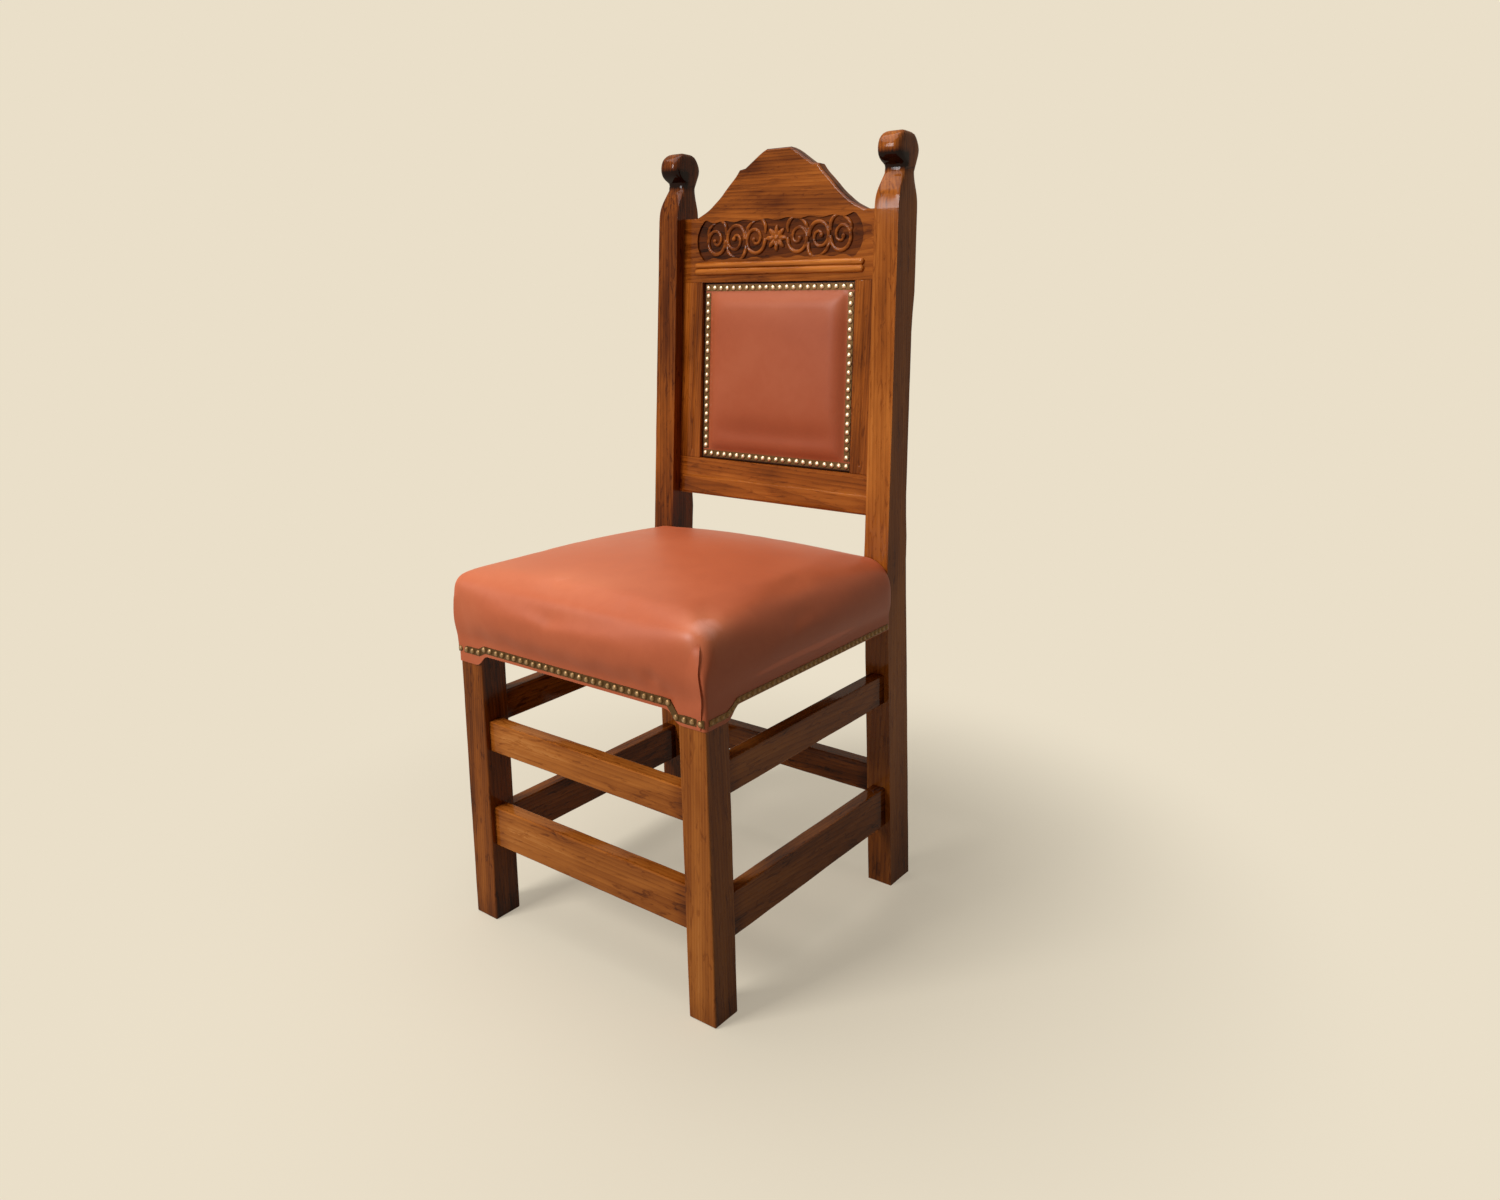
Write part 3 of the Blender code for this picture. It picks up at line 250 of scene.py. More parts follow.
def wander(piece, depth):
    """Let a piece's faces wander a little, as a hand plane leaves them."""
    waves = bpy.data.textures.new(piece.name, "CLOUDS")
    waves.noise_scale = PLANING_LENGTH
    change(piece, "DISPLACE", texture=waves, texture_coords="LOCAL", strength=depth)


def plane_by_hand(piece, axis, length, cuts_across=2, depth=PLANING_DEPTH):
    """Cut a piece's faces into patches along one axis and across, and let them wander a little."""
    bpy.ops.object.mode_set(mode="EDIT")
    pick("EDGE", lambda edge: not runs_along(edge, axis))
    bpy.ops.mesh.subdivide(number_cuts=cuts_across)
    pick("EDGE", lambda edge: runs_along(edge, axis))
    bpy.ops.mesh.subdivide(number_cuts=max(round(length / PATCH), 1))
    bpy.ops.object.mode_set(mode="OBJECT")
    wander(piece, depth)


def bevel(piece, width, segments):
    """Round a piece's sharp edges."""
    change(piece, "BEVEL", width=width, segments=segments, limit_method="ANGLE",
           angle_limit=math.radians(40))


def ease_arrises(piece, width, segments=3):
    """Rub the sharp edges round, and shade the rest smoothly."""
    bevel(piece, width, segments)
    bpy.ops.object.shade_smooth()
    change(piece, "WEIGHTED_NORMAL", weight=80)


def fit(piece, surface, slot, *nodes):
    """Give a finished piece its surface and its place in the chair, instead of its CAD nodes."""
    piece.data.materials.clear()
    piece.data.materials.append(surface.material)
    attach(piece, "root")
    if nodes:
        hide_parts(*nodes)


def varnish(piece, node, along, middle, half_length, **looks):
    """Varnish a finished piece, and put it in the place of its CAD node."""
    surface = varnished_wood(f"varnished_{node}", along, middle, half_length, **looks)
    fit(piece, surface, "varnished_wood", node)


for side in ("left", "right"):
    low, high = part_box(f"front_leg_{side}")
    leg = add_block(f"front_leg_{side}_wood", low, high)
    plane_by_hand(leg, 2, high.z - low.z)
    ease_arrises(leg, LEG_ARRIS)
    varnish(leg, f"front_leg_{side}", (0.02, 0.01, 1.0), (low + high) / 2, (high.z - low.z) / 2,
            shade=LEG_SHADES[side], ends=0.12)

# Back posts. Each is sawn from one plank: upright to just above the seat, then leaning back, with
# a hollow in its back face. At the top a rounded shoulder, a deep notch and a knob that curls
# forward over it are carved, and rubbed well round. The notch is painted black as shade.
POST_DEPTH = 0.052
BEND_HEIGHT = 0.495
RAKE = math.radians(4.5)
POST_RISE = 0.629               # bend to the top of the scroll, along the post
POST_ARRIS = 0.0028
KNOB_ROUND = 0.0115             # rounding of the knob's sides
SHOULDER_ROUND = 0.100          # from the post's top to where the rounding has run out
SHOULDER_HEIGHT = 0.054
NECK_CUT = 0.016
NECK_HEIGHT = 0.004
BACK_NECK_CUT = 0.003
SCROLL_HEIGHT = 0.056
KNOB = (                        # below the post's top, front and back behind the post's front
    (0.0560, 0.0160, 0.0490), (0.0520, 0.0168, 0.0505), (0.0485, 0.0155, 0.0520),
    (0.0460, 0.0110, 0.0532), (0.0435, 0.0055, 0.0542), (0.0400, 0.0005, 0.0556),
    (0.0360, -0.0025, 0.0574), (0.0310, -0.0042, 0.0592), (0.0255, -0.0045, 0.0600),
    (0.0190, -0.0034, 0.0584), (0.0130, -0.0006, 0.0550), (0.0085, 0.0036, 0.0512),
    (0.0048, 0.0086, 0.0466), (0.0020, 0.0142, 0.0408), (0.0005, 0.0195, 0.0352))
NOTCH = (0.028, 0.037, 0.050, 0.060)    # below the top: the painted shade darkens, stays black, and fades
NOTCH_FRONT = (0.019, 0.030)    # and fades out between these depths behind the post's front
# how dark the painted shade in the notch is
NOTCH_PAINTED_SHADE = 0.62
WAIST_DEPTH = 0.005
WAIST_STATIONS = ((0.040, 0.0), (0.070, 0.6), (0.100, 1.0), (0.340, 1.0), (0.370, 0.6), (0.400, 0.0))
SHOULDER_STEPS = 11
EDGE_CUTS = (0.003, 0.006, 0.010, 0.016)    # a post is cut lengthwise this far inside its edges
DEPTH_CUTS = (0.35, 0.68)       # and at these shares of its depth
KNOB_CUTS = 11                  # its top is cut finer
POST_SHADES = {"left": -0.19, "right": 0.04}     # the left post is darker, the right one paler
post_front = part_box("back_post_left")[0].y


def post_stations():
    """(rise, front depth, back depth) of a post's sections, from its bend to its top."""
    stations = [(0.02, 0.0, POST_DEPTH)]
    for rise, share in WAIST_STATIONS:
        stations.append((rise, 0.0, POST_DEPTH - WAIST_DEPTH * share))
    shoulder = POST_RISE - SCROLL_HEIGHT - NECK_HEIGHT - SHOULDER_HEIGHT
    for step in range(SHOULDER_STEPS):
        share = step / (SHOULDER_STEPS - 1)
        stations.append((shoulder + SHOULDER_HEIGHT * share,
                         NECK_CUT * (0.12 * share + 0.88 * share ** 2.3),
                         POST_DEPTH - BACK_NECK_CUT * (1 - math.cos(math.pi * share)) / 2))
    stations += [(POST_RISE - below, front, back) for below, front, back in KNOB]
    return stations


def extrude_to(rise, front, back):
    """Extrude the selected end face up to a height, and fit it between two depths."""
    shape = bmesh.from_edit_mesh(bpy.context.object.data)
    ends = [vertex.co for vertex in shape.verts if vertex.select]
    old_front = min(point.y for point in ends)
    old_back = max(point.y for point in ends)
    level = max(point.z for point in ends)
    centre = ((old_front + old_back) / 2, (front + back) / 2)
    bpy.ops.mesh.extrude_region_move(
        TRANSFORM_OT_translate={"value": (0, centre[1] - centre[0], rise - level)})
    ratio = (back - front) / (old_back - old_front)
    bpy.ops.transform.resize(value=(1, ratio, 1), center_override=(0, centre[1], rise))


def cut_at(axis, places):
    """In edit mode, cut right through the piece at places along an axis."""
    normal = [0, 0, 0]
    normal[axis] = 1
    for place in places:
        point = [0, 0, 0]
        point[axis] = place
        bpy.ops.mesh.select_all(action="SELECT")
        bpy.ops.mesh.bisect(plane_co=point, plane_no=normal)


def between(value, low, high):
    """0 below low, 1 above high, and a smooth step in between."""
    share = min(max((value - low) / (high - low), 0.0), 1.0)
    return share * share * (3 - 2 * share)


def section_at(rise):
    """Front and back depth of a post's section at a height above its bend."""
    sections = [(0.0, 0.0, POST_DEPTH)] + post_stations()
    for (start, *old), (end, *new) in zip(sections, sections[1:]):
        if rise <= end:
            share = (rise - start) / (end - start)
            return [a + (b - a) * share for a, b in zip(old, new)]
    return sections[-1][1:]


def rounded(place, lows, highs, radius):
    """A point of a rectangle, pulled back where it is outside the rectangle's rounded corners."""
    core = [min(max(value, low + radius), high - radius)
            for value, low, high in zip(place, lows, highs)]
    reach = math.dist(place, core)
    if reach <= radius:
        return place
    return [c + (value - c) * radius / reach for value, c in zip(place, core)]


def rub_top(post, low, high):
    """Rub the corners of an upright post's shoulder and knob round, most at the knob."""
    for vertex in post.data.vertices:
        rise = vertex.co.z - BEND_HEIGHT
        below = POST_RISE - rise
        if below > SHOULDER_ROUND:
            continue
        front, back = section_at(rise)
        radius = KNOB_ROUND * (1 - between(below, KNOB[0][0], SHOULDER_ROUND)) + NEAR
        radius = min(radius, (back - front) * 0.49)
        vertex.co.x, vertex.co.y = rounded(
            (vertex.co.x, vertex.co.y), (low, post_front + front), (high, post_front + back), radius)
        vertex.co.x, vertex.co.z = rounded(
            (vertex.co.x, vertex.co.z), (low, 0), (high, BEND_HEIGHT + POST_RISE), KNOB_ROUND)


def mark(piece, name, share_at):
    """Write a share for each of a piece's points, 0 to 1, as an attribute that materials read."""
    shares = piece.data.attributes.new(name, "FLOAT", "POINT")
    for vertex, value in zip(piece.data.vertices, shares.data):
        value.value = share_at(vertex.co)


def in_notch(place):
    """How deep in a post's notch a point is, 0 to 1."""
    back, up = place.y - post_front, place.z - BEND_HEIGHT
    below = POST_RISE - back * math.sin(RAKE) - up * math.cos(RAKE)
    depth = back * math.cos(RAKE) - up * math.sin(RAKE)
    return (between(below, *NOTCH[:2]) * (1 - between(below, *NOTCH[2:]))
            * (1 - between(depth, *NOTCH_FRONT)))


for side in ("left", "right"):
    low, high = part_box(f"back_post_{side}")
    post = add_block(f"back_post_{side}_wood", (low.x, post_front, 0),
                     (high.x, post_front + POST_DEPTH, BEND_HEIGHT))
    bpy.ops.object.mode_set(mode="EDIT")
    pick("FACE", lambda face: face.normal.z > 0.9)
    for rise, front, back in post_stations():
        extrude_to(BEND_HEIGHT + rise, post_front + front, post_front + back)
    neck = BEND_HEIGHT + POST_RISE - SCROLL_HEIGHT
    cut_at(2, [PATCH * step for step in range(1, int(neck / PATCH) - 3)])
    cut_at(0, [edge + way * inset for edge, way in ((low.x, 1), (high.x, -1)) for inset in EDGE_CUTS])
    for share in DEPTH_CUTS:
        pick("FACE", lambda face: face.calc_center_median().z < neck)
        bpy.ops.mesh.bisect(plane_co=(0, post_front + POST_DEPTH * share, 0), plane_no=(0, 1, 0))
    pick("EDGE", lambda edge: runs_along(edge, 1) and edge.verts[0].co.z > neck - NEAR
         and abs(edge.verts[0].co.z - edge.verts[1].co.z) < NEAR)
    bpy.ops.mesh.subdivide(number_cuts=KNOB_CUTS)
    bpy.ops.object.mode_set(mode="OBJECT")
    rub_top(post, low.x, high.x)
    bpy.ops.object.mode_set(mode="EDIT")
    pick("VERT", lambda vertex: vertex.co.z > BEND_HEIGHT + 0.001)
    bpy.ops.transform.rotate(value=RAKE, orient_axis="X", center_override=(0, post_front, BEND_HEIGHT))
    bpy.ops.object.mode_set(mode="OBJECT")
    wander(post, PLANING_DEPTH)
    ease_arrises(post, POST_ARRIS)
    # painted shade in the notch under the knob
    mark(post, "hollow", in_notch)
    varnish(post, f"back_post_{side}", (0.0, 0.04, 1.0), (low + high) / 2, high.z / 2,
            shade=POST_SHADES[side], tilt=0.30, ends=0.10, sunk=NOTCH_PAINTED_SHADE)

# Stretchers. Seven boards of the same softwood, tenoned and glued between the legs and posts in
# two rings, with one low board at the back. The brush left the stain patchy on their faces, and
# it gathered dark where they meet the legs.
STRETCHER_ARRIS = 0.0020
JOINT_DEPTH = 0.0010            # a board's end shows no gap at its joint
leg_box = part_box("front_leg_right")
post_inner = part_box("back_post_right")[0].x
X_AXIS, Y_AXIS = 0, 1
STRETCHERS = (                  # name, axis, where it ends, and how much darker or paler it is
    ("front_stretcher_upper", X_AXIS, leg_box[0].x, 0.13),
    ("front_stretcher_lower", X_AXIS, leg_box[0].x, 0.10),
    ("side_stretcher_left_upper", Y_AXIS, None, -0.16),
    ("side_stretcher_left_lower", Y_AXIS, None, -0.13),
    ("side_stretcher_right_upper", Y_AXIS, None, 0.04),
    ("side_stretcher_right_lower", Y_AXIS, None, 0.0),
    ("back_stretcher", X_AXIS, post_inner, -0.09))

for number, (name, axis, reach, shade) in enumerate(STRETCHERS):
    low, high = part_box(name)
    if axis == X_AXIS:
        low.x, high.x = -reach - JOINT_DEPTH, reach + JOINT_DEPTH
    else:
        low.y, high.y = leg_box[1].y - JOINT_DEPTH, post_front + JOINT_DEPTH
    board = add_block(f"{name}_wood", low, high)
    plane_by_hand(board, axis, (high - low)[axis])
    ease_arrises(board, STRETCHER_ARRIS)
    along = (1.0, 0.01 * number, 0.015) if axis == X_AXIS else (0.01 * number, 1.0, 0.015)
    varnish(board, name, along, (low + high) / 2, (high - low)[axis] / 2, shade=shade,
            tilt=0.25 + 0.05 * number, patches=0.20, ends=0.26)

# Seat frame. Four sawn rails, four corner blocks and a plywood board on top, all hidden under the
# padding and left bare. The blocks are glued and screwed into the corners.
SAWN = (
    (0.0, (0.150, 0.080, 0.034)), (0.5, (0.420, 0.270, 0.130)), (1.0, (0.620, 0.450, 0.260)))


def bare_wood(name, along, middle):
    """Unfinished softwood with saw marks across its grain."""
    wood = Surface(name, 0.72)
    grain, rings = saw(wood, along, middle, 0.0, 0.08, Distortion=4.0, Detail=2.0, Detail_Scale=0.3)
    late = rings ** 2.5
    fibre = wood.noise(grain, (380.0, 380.0, 10.0), 3.0)
    teeth = wood.noise(grain, (25.0, 25.0, 620.0), 2.0)
    tone = 0.66 - late * 0.34 + (fibre - 0.5) * 0.5 + (teeth - 0.5) * 0.16
    wood.set(wood.node("ValToRGB", {"stops": SAWN}, {"Fac": tone}), "Base Color")
    wood.set(0.70 + (fibre - 0.5) * 0.2, "Roughness")
    wood.bump(teeth * 0.7 + fibre * 0.3, 0.0005, 0.35)
    return wood


def dress(node, surface):
    """Give a CAD node its surface."""
    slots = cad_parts[node].data.materials
    slots.clear()
    slots.append(surface.material)


BARE_GRAINS = (                 # how the bare pieces' names start, and which way their grain runs
    ("seat_rail_front", (1, 0, 0)), ("seat_rail_back", (1, 0, 0)), ("seat_board", (1, 0, 0)),
    ("seat_rail_left", (0, 1, 0)), ("seat_rail_right", (0, 1, 0)), ("corner_block_", (0, 0, 1)))
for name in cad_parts:
    for start, along in BARE_GRAINS:
        if name.startswith(start) and "_screw_" not in name:
            low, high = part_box(name)
            dress(name, bare_wood(f"bare_{name}", along, (low + high) / 2))

# Screws of the corner blocks and of the seat board: zinc-plated steel, sunk just below the wood.
zinc = Surface("zinc_plate", 0.35, 1.0)
place = zinc.node("TexCoord", {}, {}, "Object")
bloom = zinc.noise(place, (900.0, 900.0, 900.0), 3.0)
zinc_stops = ((0.3, (0.38, 0.37, 0.34)), (0.7, (0.66, 0.66, 0.64)))
zinc.set(zinc.node("ValToRGB", {"stops": zinc_stops}, {"Fac": bloom}), "Base Color")
zinc.set(0.28 + bloom * 0.25, "Roughness")
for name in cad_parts:
    if "_screw_" in name:
        dress(name, zinc)

# Bottom rail of the back. A board tenoned between the posts, with a rounded lip left standing
# along its lower edge by carving the rest of its face down.
PANEL_DEPTH = 0.018             # front of the back's frame behind the front of the posts
PANEL_THICKNESS = 0.020
PANEL_BOTTOM = 0.068            # heights along the posts from their bend
RAIL_TOP = 0.128
CREST_BOTTOM = 0.416
LIP_HEIGHT = 0.030
LIP_DEPTH = 0.0035
LIP_MARGIN = 0.006              # from the lip's end to the post
LIP_WANDER = 0.0016             # unevenness of the hand-carved lip
PANEL_ARRIS = 0.0012


def lay(x_low, rise_low, depth_high, x_high, rise_high, depth_low, name):
    """A block on the bench, given by its widths, heights along the posts and depths behind them."""
    return add_block(name, (x_low, rise_low, -depth_high), (x_high, rise_high, -depth_low))


def select_only(piece):
    """Make a piece the only selected one, and the active one."""
    bpy.ops.object.select_all(action="DESELECT")
    piece.select_set(True)
    bpy.context.view_layer.objects.active = piece


def stand_up(piece):
    """Raise a piece from the bench to its place on the leaning posts."""
    select_only(piece)
    piece.rotation_euler = (math.pi / 2 - RAKE, 0, 0)
    piece.location = (0, post_front, BEND_HEIGHT)
    bpy.ops.object.transform_apply()


def raised(x, rise, depth=0.0):
    """World place of a point of the back, given across, along the posts and behind their front."""
    return Vector((x, post_front + depth * math.cos(RAKE) + rise * math.sin(RAKE),
                   BEND_HEIGHT - depth * math.sin(RAKE) + rise * math.cos(RAKE)))


def join_in(piece, part, operation="UNION"):
    """Join another piece to this one, or cut it away, and drop the other."""
    change(piece, "BOOLEAN", operation=operation, object=part, solver="EXACT")
    bpy.data.objects.remove(part)


half_back = post_inner + JOINT_DEPTH
rail = lay(-half_back, PANEL_BOTTOM, PANEL_DEPTH + PANEL_THICKNESS, half_back, RAIL_TOP, PANEL_DEPTH,
           "back_bottom_rail_wood")
lip_half = post_inner - LIP_MARGIN
lip = lay(-lip_half, PANEL_BOTTOM + PANEL_ARRIS, PANEL_DEPTH + PANEL_THICKNESS / 2, lip_half,
          PANEL_BOTTOM + LIP_HEIGHT, PANEL_DEPTH - LIP_DEPTH, "lip")
plane_by_hand(lip, 0, 2 * lip_half, 3, LIP_WANDER)
bevel(lip, LIP_DEPTH * 1.6, 4)
join_in(rail, lip)
ease_arrises(rail, PANEL_ARRIS, 2)
stand_up(rail)
BACK_GRAIN = (1.0, 0.0, 0.012)
varnish(rail, "back_bottom_rail", BACK_GRAIN, raised(0, PANEL_BOTTOM + LIP_HEIGHT), post_inner,
        shade=-0.05, tilt=0.5, patches=0.12, ends=0.10)

# Stiles of the back, between the bottom rail and the crest board. A vertical line is scratched
# down the face of each, and stopped short of the rail with a chisel cut.
OPENING_HALF_WIDTH = 0.148
SCRATCH_MARGIN = 0.017          # from the opening to the middle of the scratched line
SCRATCH_HALF_WIDTH = 0.0022
SCRATCH_DEPTH = 0.0022
SCRATCH_END = 0.012
STILE_MIDDLE = 0.168            # from the middle of the back to that of the stile
STILE_HALF_LENGTH = 0.2
UPWARD = Vector((0, math.sin(RAKE), math.cos(RAKE)))

for side, way in (("left", -1), ("right", 1)):
    inner, outer = sorted((way * OPENING_HALF_WIDTH, way * half_back))
    stile = lay(inner, RAIL_TOP, PANEL_DEPTH + PANEL_THICKNESS, outer, CREST_BOTTOM, PANEL_DEPTH,
                f"back_stile_{side}_wood")
    line_x = way * (OPENING_HALF_WIDTH + SCRATCH_MARGIN)
    bpy.ops.object.mode_set(mode="EDIT")
    line_start, line_end = RAIL_TOP + SCRATCH_END, CREST_BOTTOM - SCRATCH_END
    cut_at(0, (line_x - SCRATCH_HALF_WIDTH, line_x, line_x + SCRATCH_HALF_WIDTH))
    cut_at(1, (line_start, line_start + SCRATCH_DEPTH, line_end))
    pick("VERT", lambda vertex: abs(vertex.co.x - line_x) < SCRATCH_HALF_WIDTH / 2
         and abs(vertex.co.z + PANEL_DEPTH) < NEAR and line_start < vertex.co.y - NEAR < line_end)
    bpy.ops.transform.translate(value=(0, 0, -SCRATCH_DEPTH))
    bpy.ops.object.mode_set(mode="OBJECT")
    ease_arrises(stile, PANEL_ARRIS, 2)
    stand_up(stile)
    varnish(stile, f"back_stile_{side}", UPWARD + Vector((0.02, 0, 0)),
            raised(way * STILE_MIDDLE, (RAIL_TOP + CREST_BOTTOM) / 2), STILE_HALF_LENGTH,
            shade=-0.12, tilt=0.4, patches=0.12, ends=0.0)

# Crest board. It is sawn to a stepped arch and tenoned between the posts, with its upper edges
# rubbed round. Across it run a rounded moulding and a band of running scrolls, carved with
# gouges by cutting the ground away between them; the ground is painted darker as shade, and the
# moulding's crowns paler as a painted highlight.
CREST_SHOULDER = 0.520
ARCH_HALF_WIDTH = 0.1897
ARCH_HEIGHT = 0.1015
CREST_SHARES = (                # shares of the half width and of the arch's height
    (0.880, 0.000), (0.800, 0.060), (0.735, 0.125), (0.675, 0.210), (0.610, 0.310), (0.558, 0.410),
    (0.510, 0.500), (0.447, 0.615), (0.405, 0.715), (0.345, 0.735), (0.255, 0.850), (0.170, 0.955),
    (0.120, 1.000))
CREST_STEPS = (0.405, 0.345, 0.120)     # shares at which the outline has a corner
CREST_ARRIS = 0.0042
BEADS = ((0.4270, 0.0120, 0.0050), (0.4385, 0.0100, 0.0046))       # level, height, depth
BEAD_HALF_WIDTH = 0.164
BEAD_ROUND = 0.47               # rounding of its edges, in shares of its height
BEAD_PAINTED_HIGHLIGHT = 1.3               # painted highlight: how much paler their crowns are, in shares of the carving's painted shade
BAND_MIDDLE = 0.483
BAND_SINK = 0.0026              # ground of the carving below the board's face
SCROLL_RADIUS = 0.0200          # outside radius of a running scroll
SCROLL_TALL = 1.14              # and how much taller than wide it is
SCROLL_COUNT = 3                # on each side of the rosette
ROSETTE_RADIUS = 0.0200
ROSETTE_ROOM = 0.0215           # from the rosette's middle to the first scroll
STEM = 0.0034                   # half the thickness of the scrolls' stem
GROUND_MARGIN = 0.0030          # from the scrolls to the edge of the ground
GROUND_END = 0.0030             # and how much more at its ends
GROUND_WAVES = (-0.0012, 0.0018)        # how its long edges waver
GROUND_TOOL = 0.010             # its cutter starts this far in front of the board
BERRY, CORE = 0.0042, 0.0048    # radii of the scrolls' berries and of the rosette's middle
PETALS = 8
PETAL_MIDDLE, PETAL_HALF = 0.62, 0.44   # where a petal lies and its half length, in rosette radii
PETAL_HALF_WIDTH = 0.0042
CURLS = (                       # a scroll's stem, leaf and bud: steps, angle, reach, half width
    (14, lambda share: math.pi * (1 + 2.9 * share),
     lambda share: 1 - 0.10 * share if share < 0.17 else 0.983 - 0.80 * (share - 0.17) / 0.83,
     lambda share: STEM * (1.15 - 0.35 * share)),
    (5, lambda share: math.radians(160 - 62 * share),
     lambda share: 1.02 * (1.0 + 0.40 * math.sin(math.pi * share * 0.72)),
     lambda share: 0.0008 + 0.0032 * math.sin(math.pi * min(share * 0.85 + 0.12, 1.0))),
    (4, lambda share: math.radians(20 + 70 * share),
     lambda share: 0.95 + 0.42 * share - 0.16 * share ** 2,
     lambda share: 0.0008 + 0.0028 * math.sin(math.pi * min(share * 0.8 + 0.15, 1.0))))
CARVING_GRAIN = 0.0008          # fineness of the carved shapes
CARVING_FACES = 0.45            # share of their faces that is kept
CARVING_RELIEF = 0.95           # height of the shapes, in shares of their half width
CARVING_PAINTED_SHADE = 0.22            # painted shade: how much darker the ground is
STROKE_UNIT = 0.001


def close_up(piece):
    """Merge a piece's doubled points and turn all its faces outwards."""
    bpy.ops.object.mode_set(mode="EDIT")
    bpy.ops.mesh.select_all(action="SELECT")
    bpy.ops.mesh.remove_doubles(threshold=NEAR / 2)
    bpy.ops.mesh.normals_make_consistent(inside=False)
    bpy.ops.object.mode_set(mode="OBJECT")


def saw_outline(name, points, corners, depth_low, depth_high):
    """A board on the bench, sawn to a closed curve through points. It turns sharply at corners."""
    bpy.ops.curve.primitive_bezier_circle_add()
    drawn = bpy.context.object
    drawn.name = name
    line = drawn.data.splines[0]
    line.bezier_points.add(len(points) - len(line.bezier_points))
    for point, place in zip(line.bezier_points, points):
        kind = "VECTOR" if place in corners else "AUTO"
        point.handle_left_type = point.handle_right_type = kind
        point.co = (*place, 0)
    drawn.data.dimensions = "2D"
    drawn.data.fill_mode = "BOTH"
    drawn.data.resolution_u = 6
    drawn.data.extrude = (depth_high - depth_low) / 2
    drawn.location.z = -(depth_low + depth_high) / 2
    bpy.ops.object.convert(target="MESH")
    bpy.ops.object.transform_apply()
    close_up(drawn)
    return drawn


def carve_strand(points, half_widths):
    """A rounded strand through points (x, y) on the bench, with a half width at each of them."""
    bpy.ops.curve.primitive_bezier_curve_add()
    strand = bpy.context.object
    strand.data.bevel_depth = STROKE_UNIT
    strand.data.bevel_resolution = 2
    strand.data.resolution_u = 4
    strand.data.use_fill_caps = True
    line = strand.data.splines[0]
    line.bezier_points.add(len(points) - 2)
    for point, place, half_width in zip(line.bezier_points, points, half_widths):
        point.handle_left_type = point.handle_right_type = "AUTO"
        point.co = (*place, 0)
        point.radius = half_width / STROKE_UNIT
    bpy.ops.object.convert(target="MESH")
    return strand


def carve_drop(place, half_length, half_width, angle=0.0):
    """A rounded petal or berry lying on the bench."""
    bpy.ops.mesh.primitive_uv_sphere_add(
        segments=16, ring_count=10, radius=1.0, location=(*place, 0), rotation=(0, 0, angle),
        scale=(half_length, half_width, half_width))
    return bpy.context.object


def carve_curl(middle_x, flip, steps, angle_at, reach_at, half_width_at):
    """A strand that turns about a scroll's middle, and the point where it ends.

    Its angle, its reach in scroll radii and its half width follow the share of its length."""
    shares = [step / steps for step in range(steps + 1)]
    points = []
    for share in shares:
        angle, reach = angle_at(share), SCROLL_RADIUS * reach_at(share)
        points.append((middle_x + reach * math.cos(angle),
                       BAND_MIDDLE + flip * reach * SCROLL_TALL * math.sin(angle)))
    return carve_strand(points, [half_width_at(share) for share in shares]), points[-1]


def join(pieces, name):
    """Make one piece of several."""
    select_only(pieces[0])
    for piece in pieces:
        piece.select_set(True)
    bpy.ops.object.join()
    pieces[0].name = name
    bpy.ops.object.transform_apply()
    return pieces[0]


def spread(start, end, pitch):
    """Evenly spaced places from start to end, about one pitch apart."""
    count = max(round(abs(end - start) / pitch), 1)
    return [start + (end - start) * step / count for step in range(count + 1)]


def shade_by_angle(piece, degrees):
    """Shade a piece smoothly, apart from its edges that are sharper than an angle."""
    select_only(piece)
    bpy.ops.object.shade_smooth_by_angle(angle=math.radians(degrees))


right = [(ARCH_HALF_WIDTH * share, CREST_SHOULDER + ARCH_HEIGHT * rise)
         for share, rise in CREST_SHARES]
corners = [(half_back, CREST_BOTTOM), (half_back, CREST_SHOULDER)]
corners += [point for point, (share, rise) in zip(right, CREST_SHARES) if share in CREST_STEPS]
outline = corners[:2] + right
outline += [(-x, y) for x, y in reversed(outline)]
corners += [(-x, y) for x, y in corners]
crest = saw_outline("crest_board_wood", outline, corners, PANEL_DEPTH, PANEL_DEPTH + PANEL_THICKNESS)
bpy.ops.object.mode_set(mode="EDIT")
bpy.ops.mesh.select_all(action="SELECT")
bpy.ops.mesh.dissolve_limited(angle_limit=math.radians(2))
pick("EDGE", lambda edge: abs(edge.verts[0].co.z - edge.verts[1].co.z) < NEAR
     and min(vertex.co.y for vertex in edge.verts) > CREST_SHOULDER - NEAR
     and edge.calc_face_angle(0) > math.radians(60))
bpy.ops.mesh.bevel(offset=CREST_ARRIS, segments=4)
bpy.ops.object.mode_set(mode="OBJECT")

for level, height, depth in BEADS:
    bead = lay(-BEAD_HALF_WIDTH, level, PANEL_DEPTH + PANEL_THICKNESS / 2,
               BEAD_HALF_WIDTH, level + height, PANEL_DEPTH - depth, "bead")
    bevel(bead, height * BEAD_ROUND, 6)
    bpy.ops.object.mode_set(mode="EDIT")
    cut_at(0, spread(-BEAD_HALF_WIDTH + 2 * PATCH, BEAD_HALF_WIDTH - 2 * PATCH, PATCH))
    bpy.ops.object.mode_set(mode="OBJECT")
    wander(bead, LIP_WANDER)
    join_in(crest, bead)

pitch = 2 * SCROLL_RADIUS
band_half = ROSETTE_ROOM + SCROLL_COUNT * pitch + GROUND_MARGIN + GROUND_END
band_high = BAND_MIDDLE + SCROLL_RADIUS * SCROLL_TALL + GROUND_MARGIN + STEM
steps = 2 * SCROLL_COUNT + 1
upper_edge = [(band_half * step / steps, band_high + GROUND_WAVES[step % 2])
              for step in range(-steps, steps + 1)]
lower_edge = [(x, 2 * BAND_MIDDLE - y) for x, y in reversed(upper_edge)]
ground = saw_outline("ground", upper_edge + lower_edge, [], PANEL_DEPTH - GROUND_TOOL,
                     PANEL_DEPTH + BAND_SINK)
join_in(crest, ground, "DIFFERENCE")

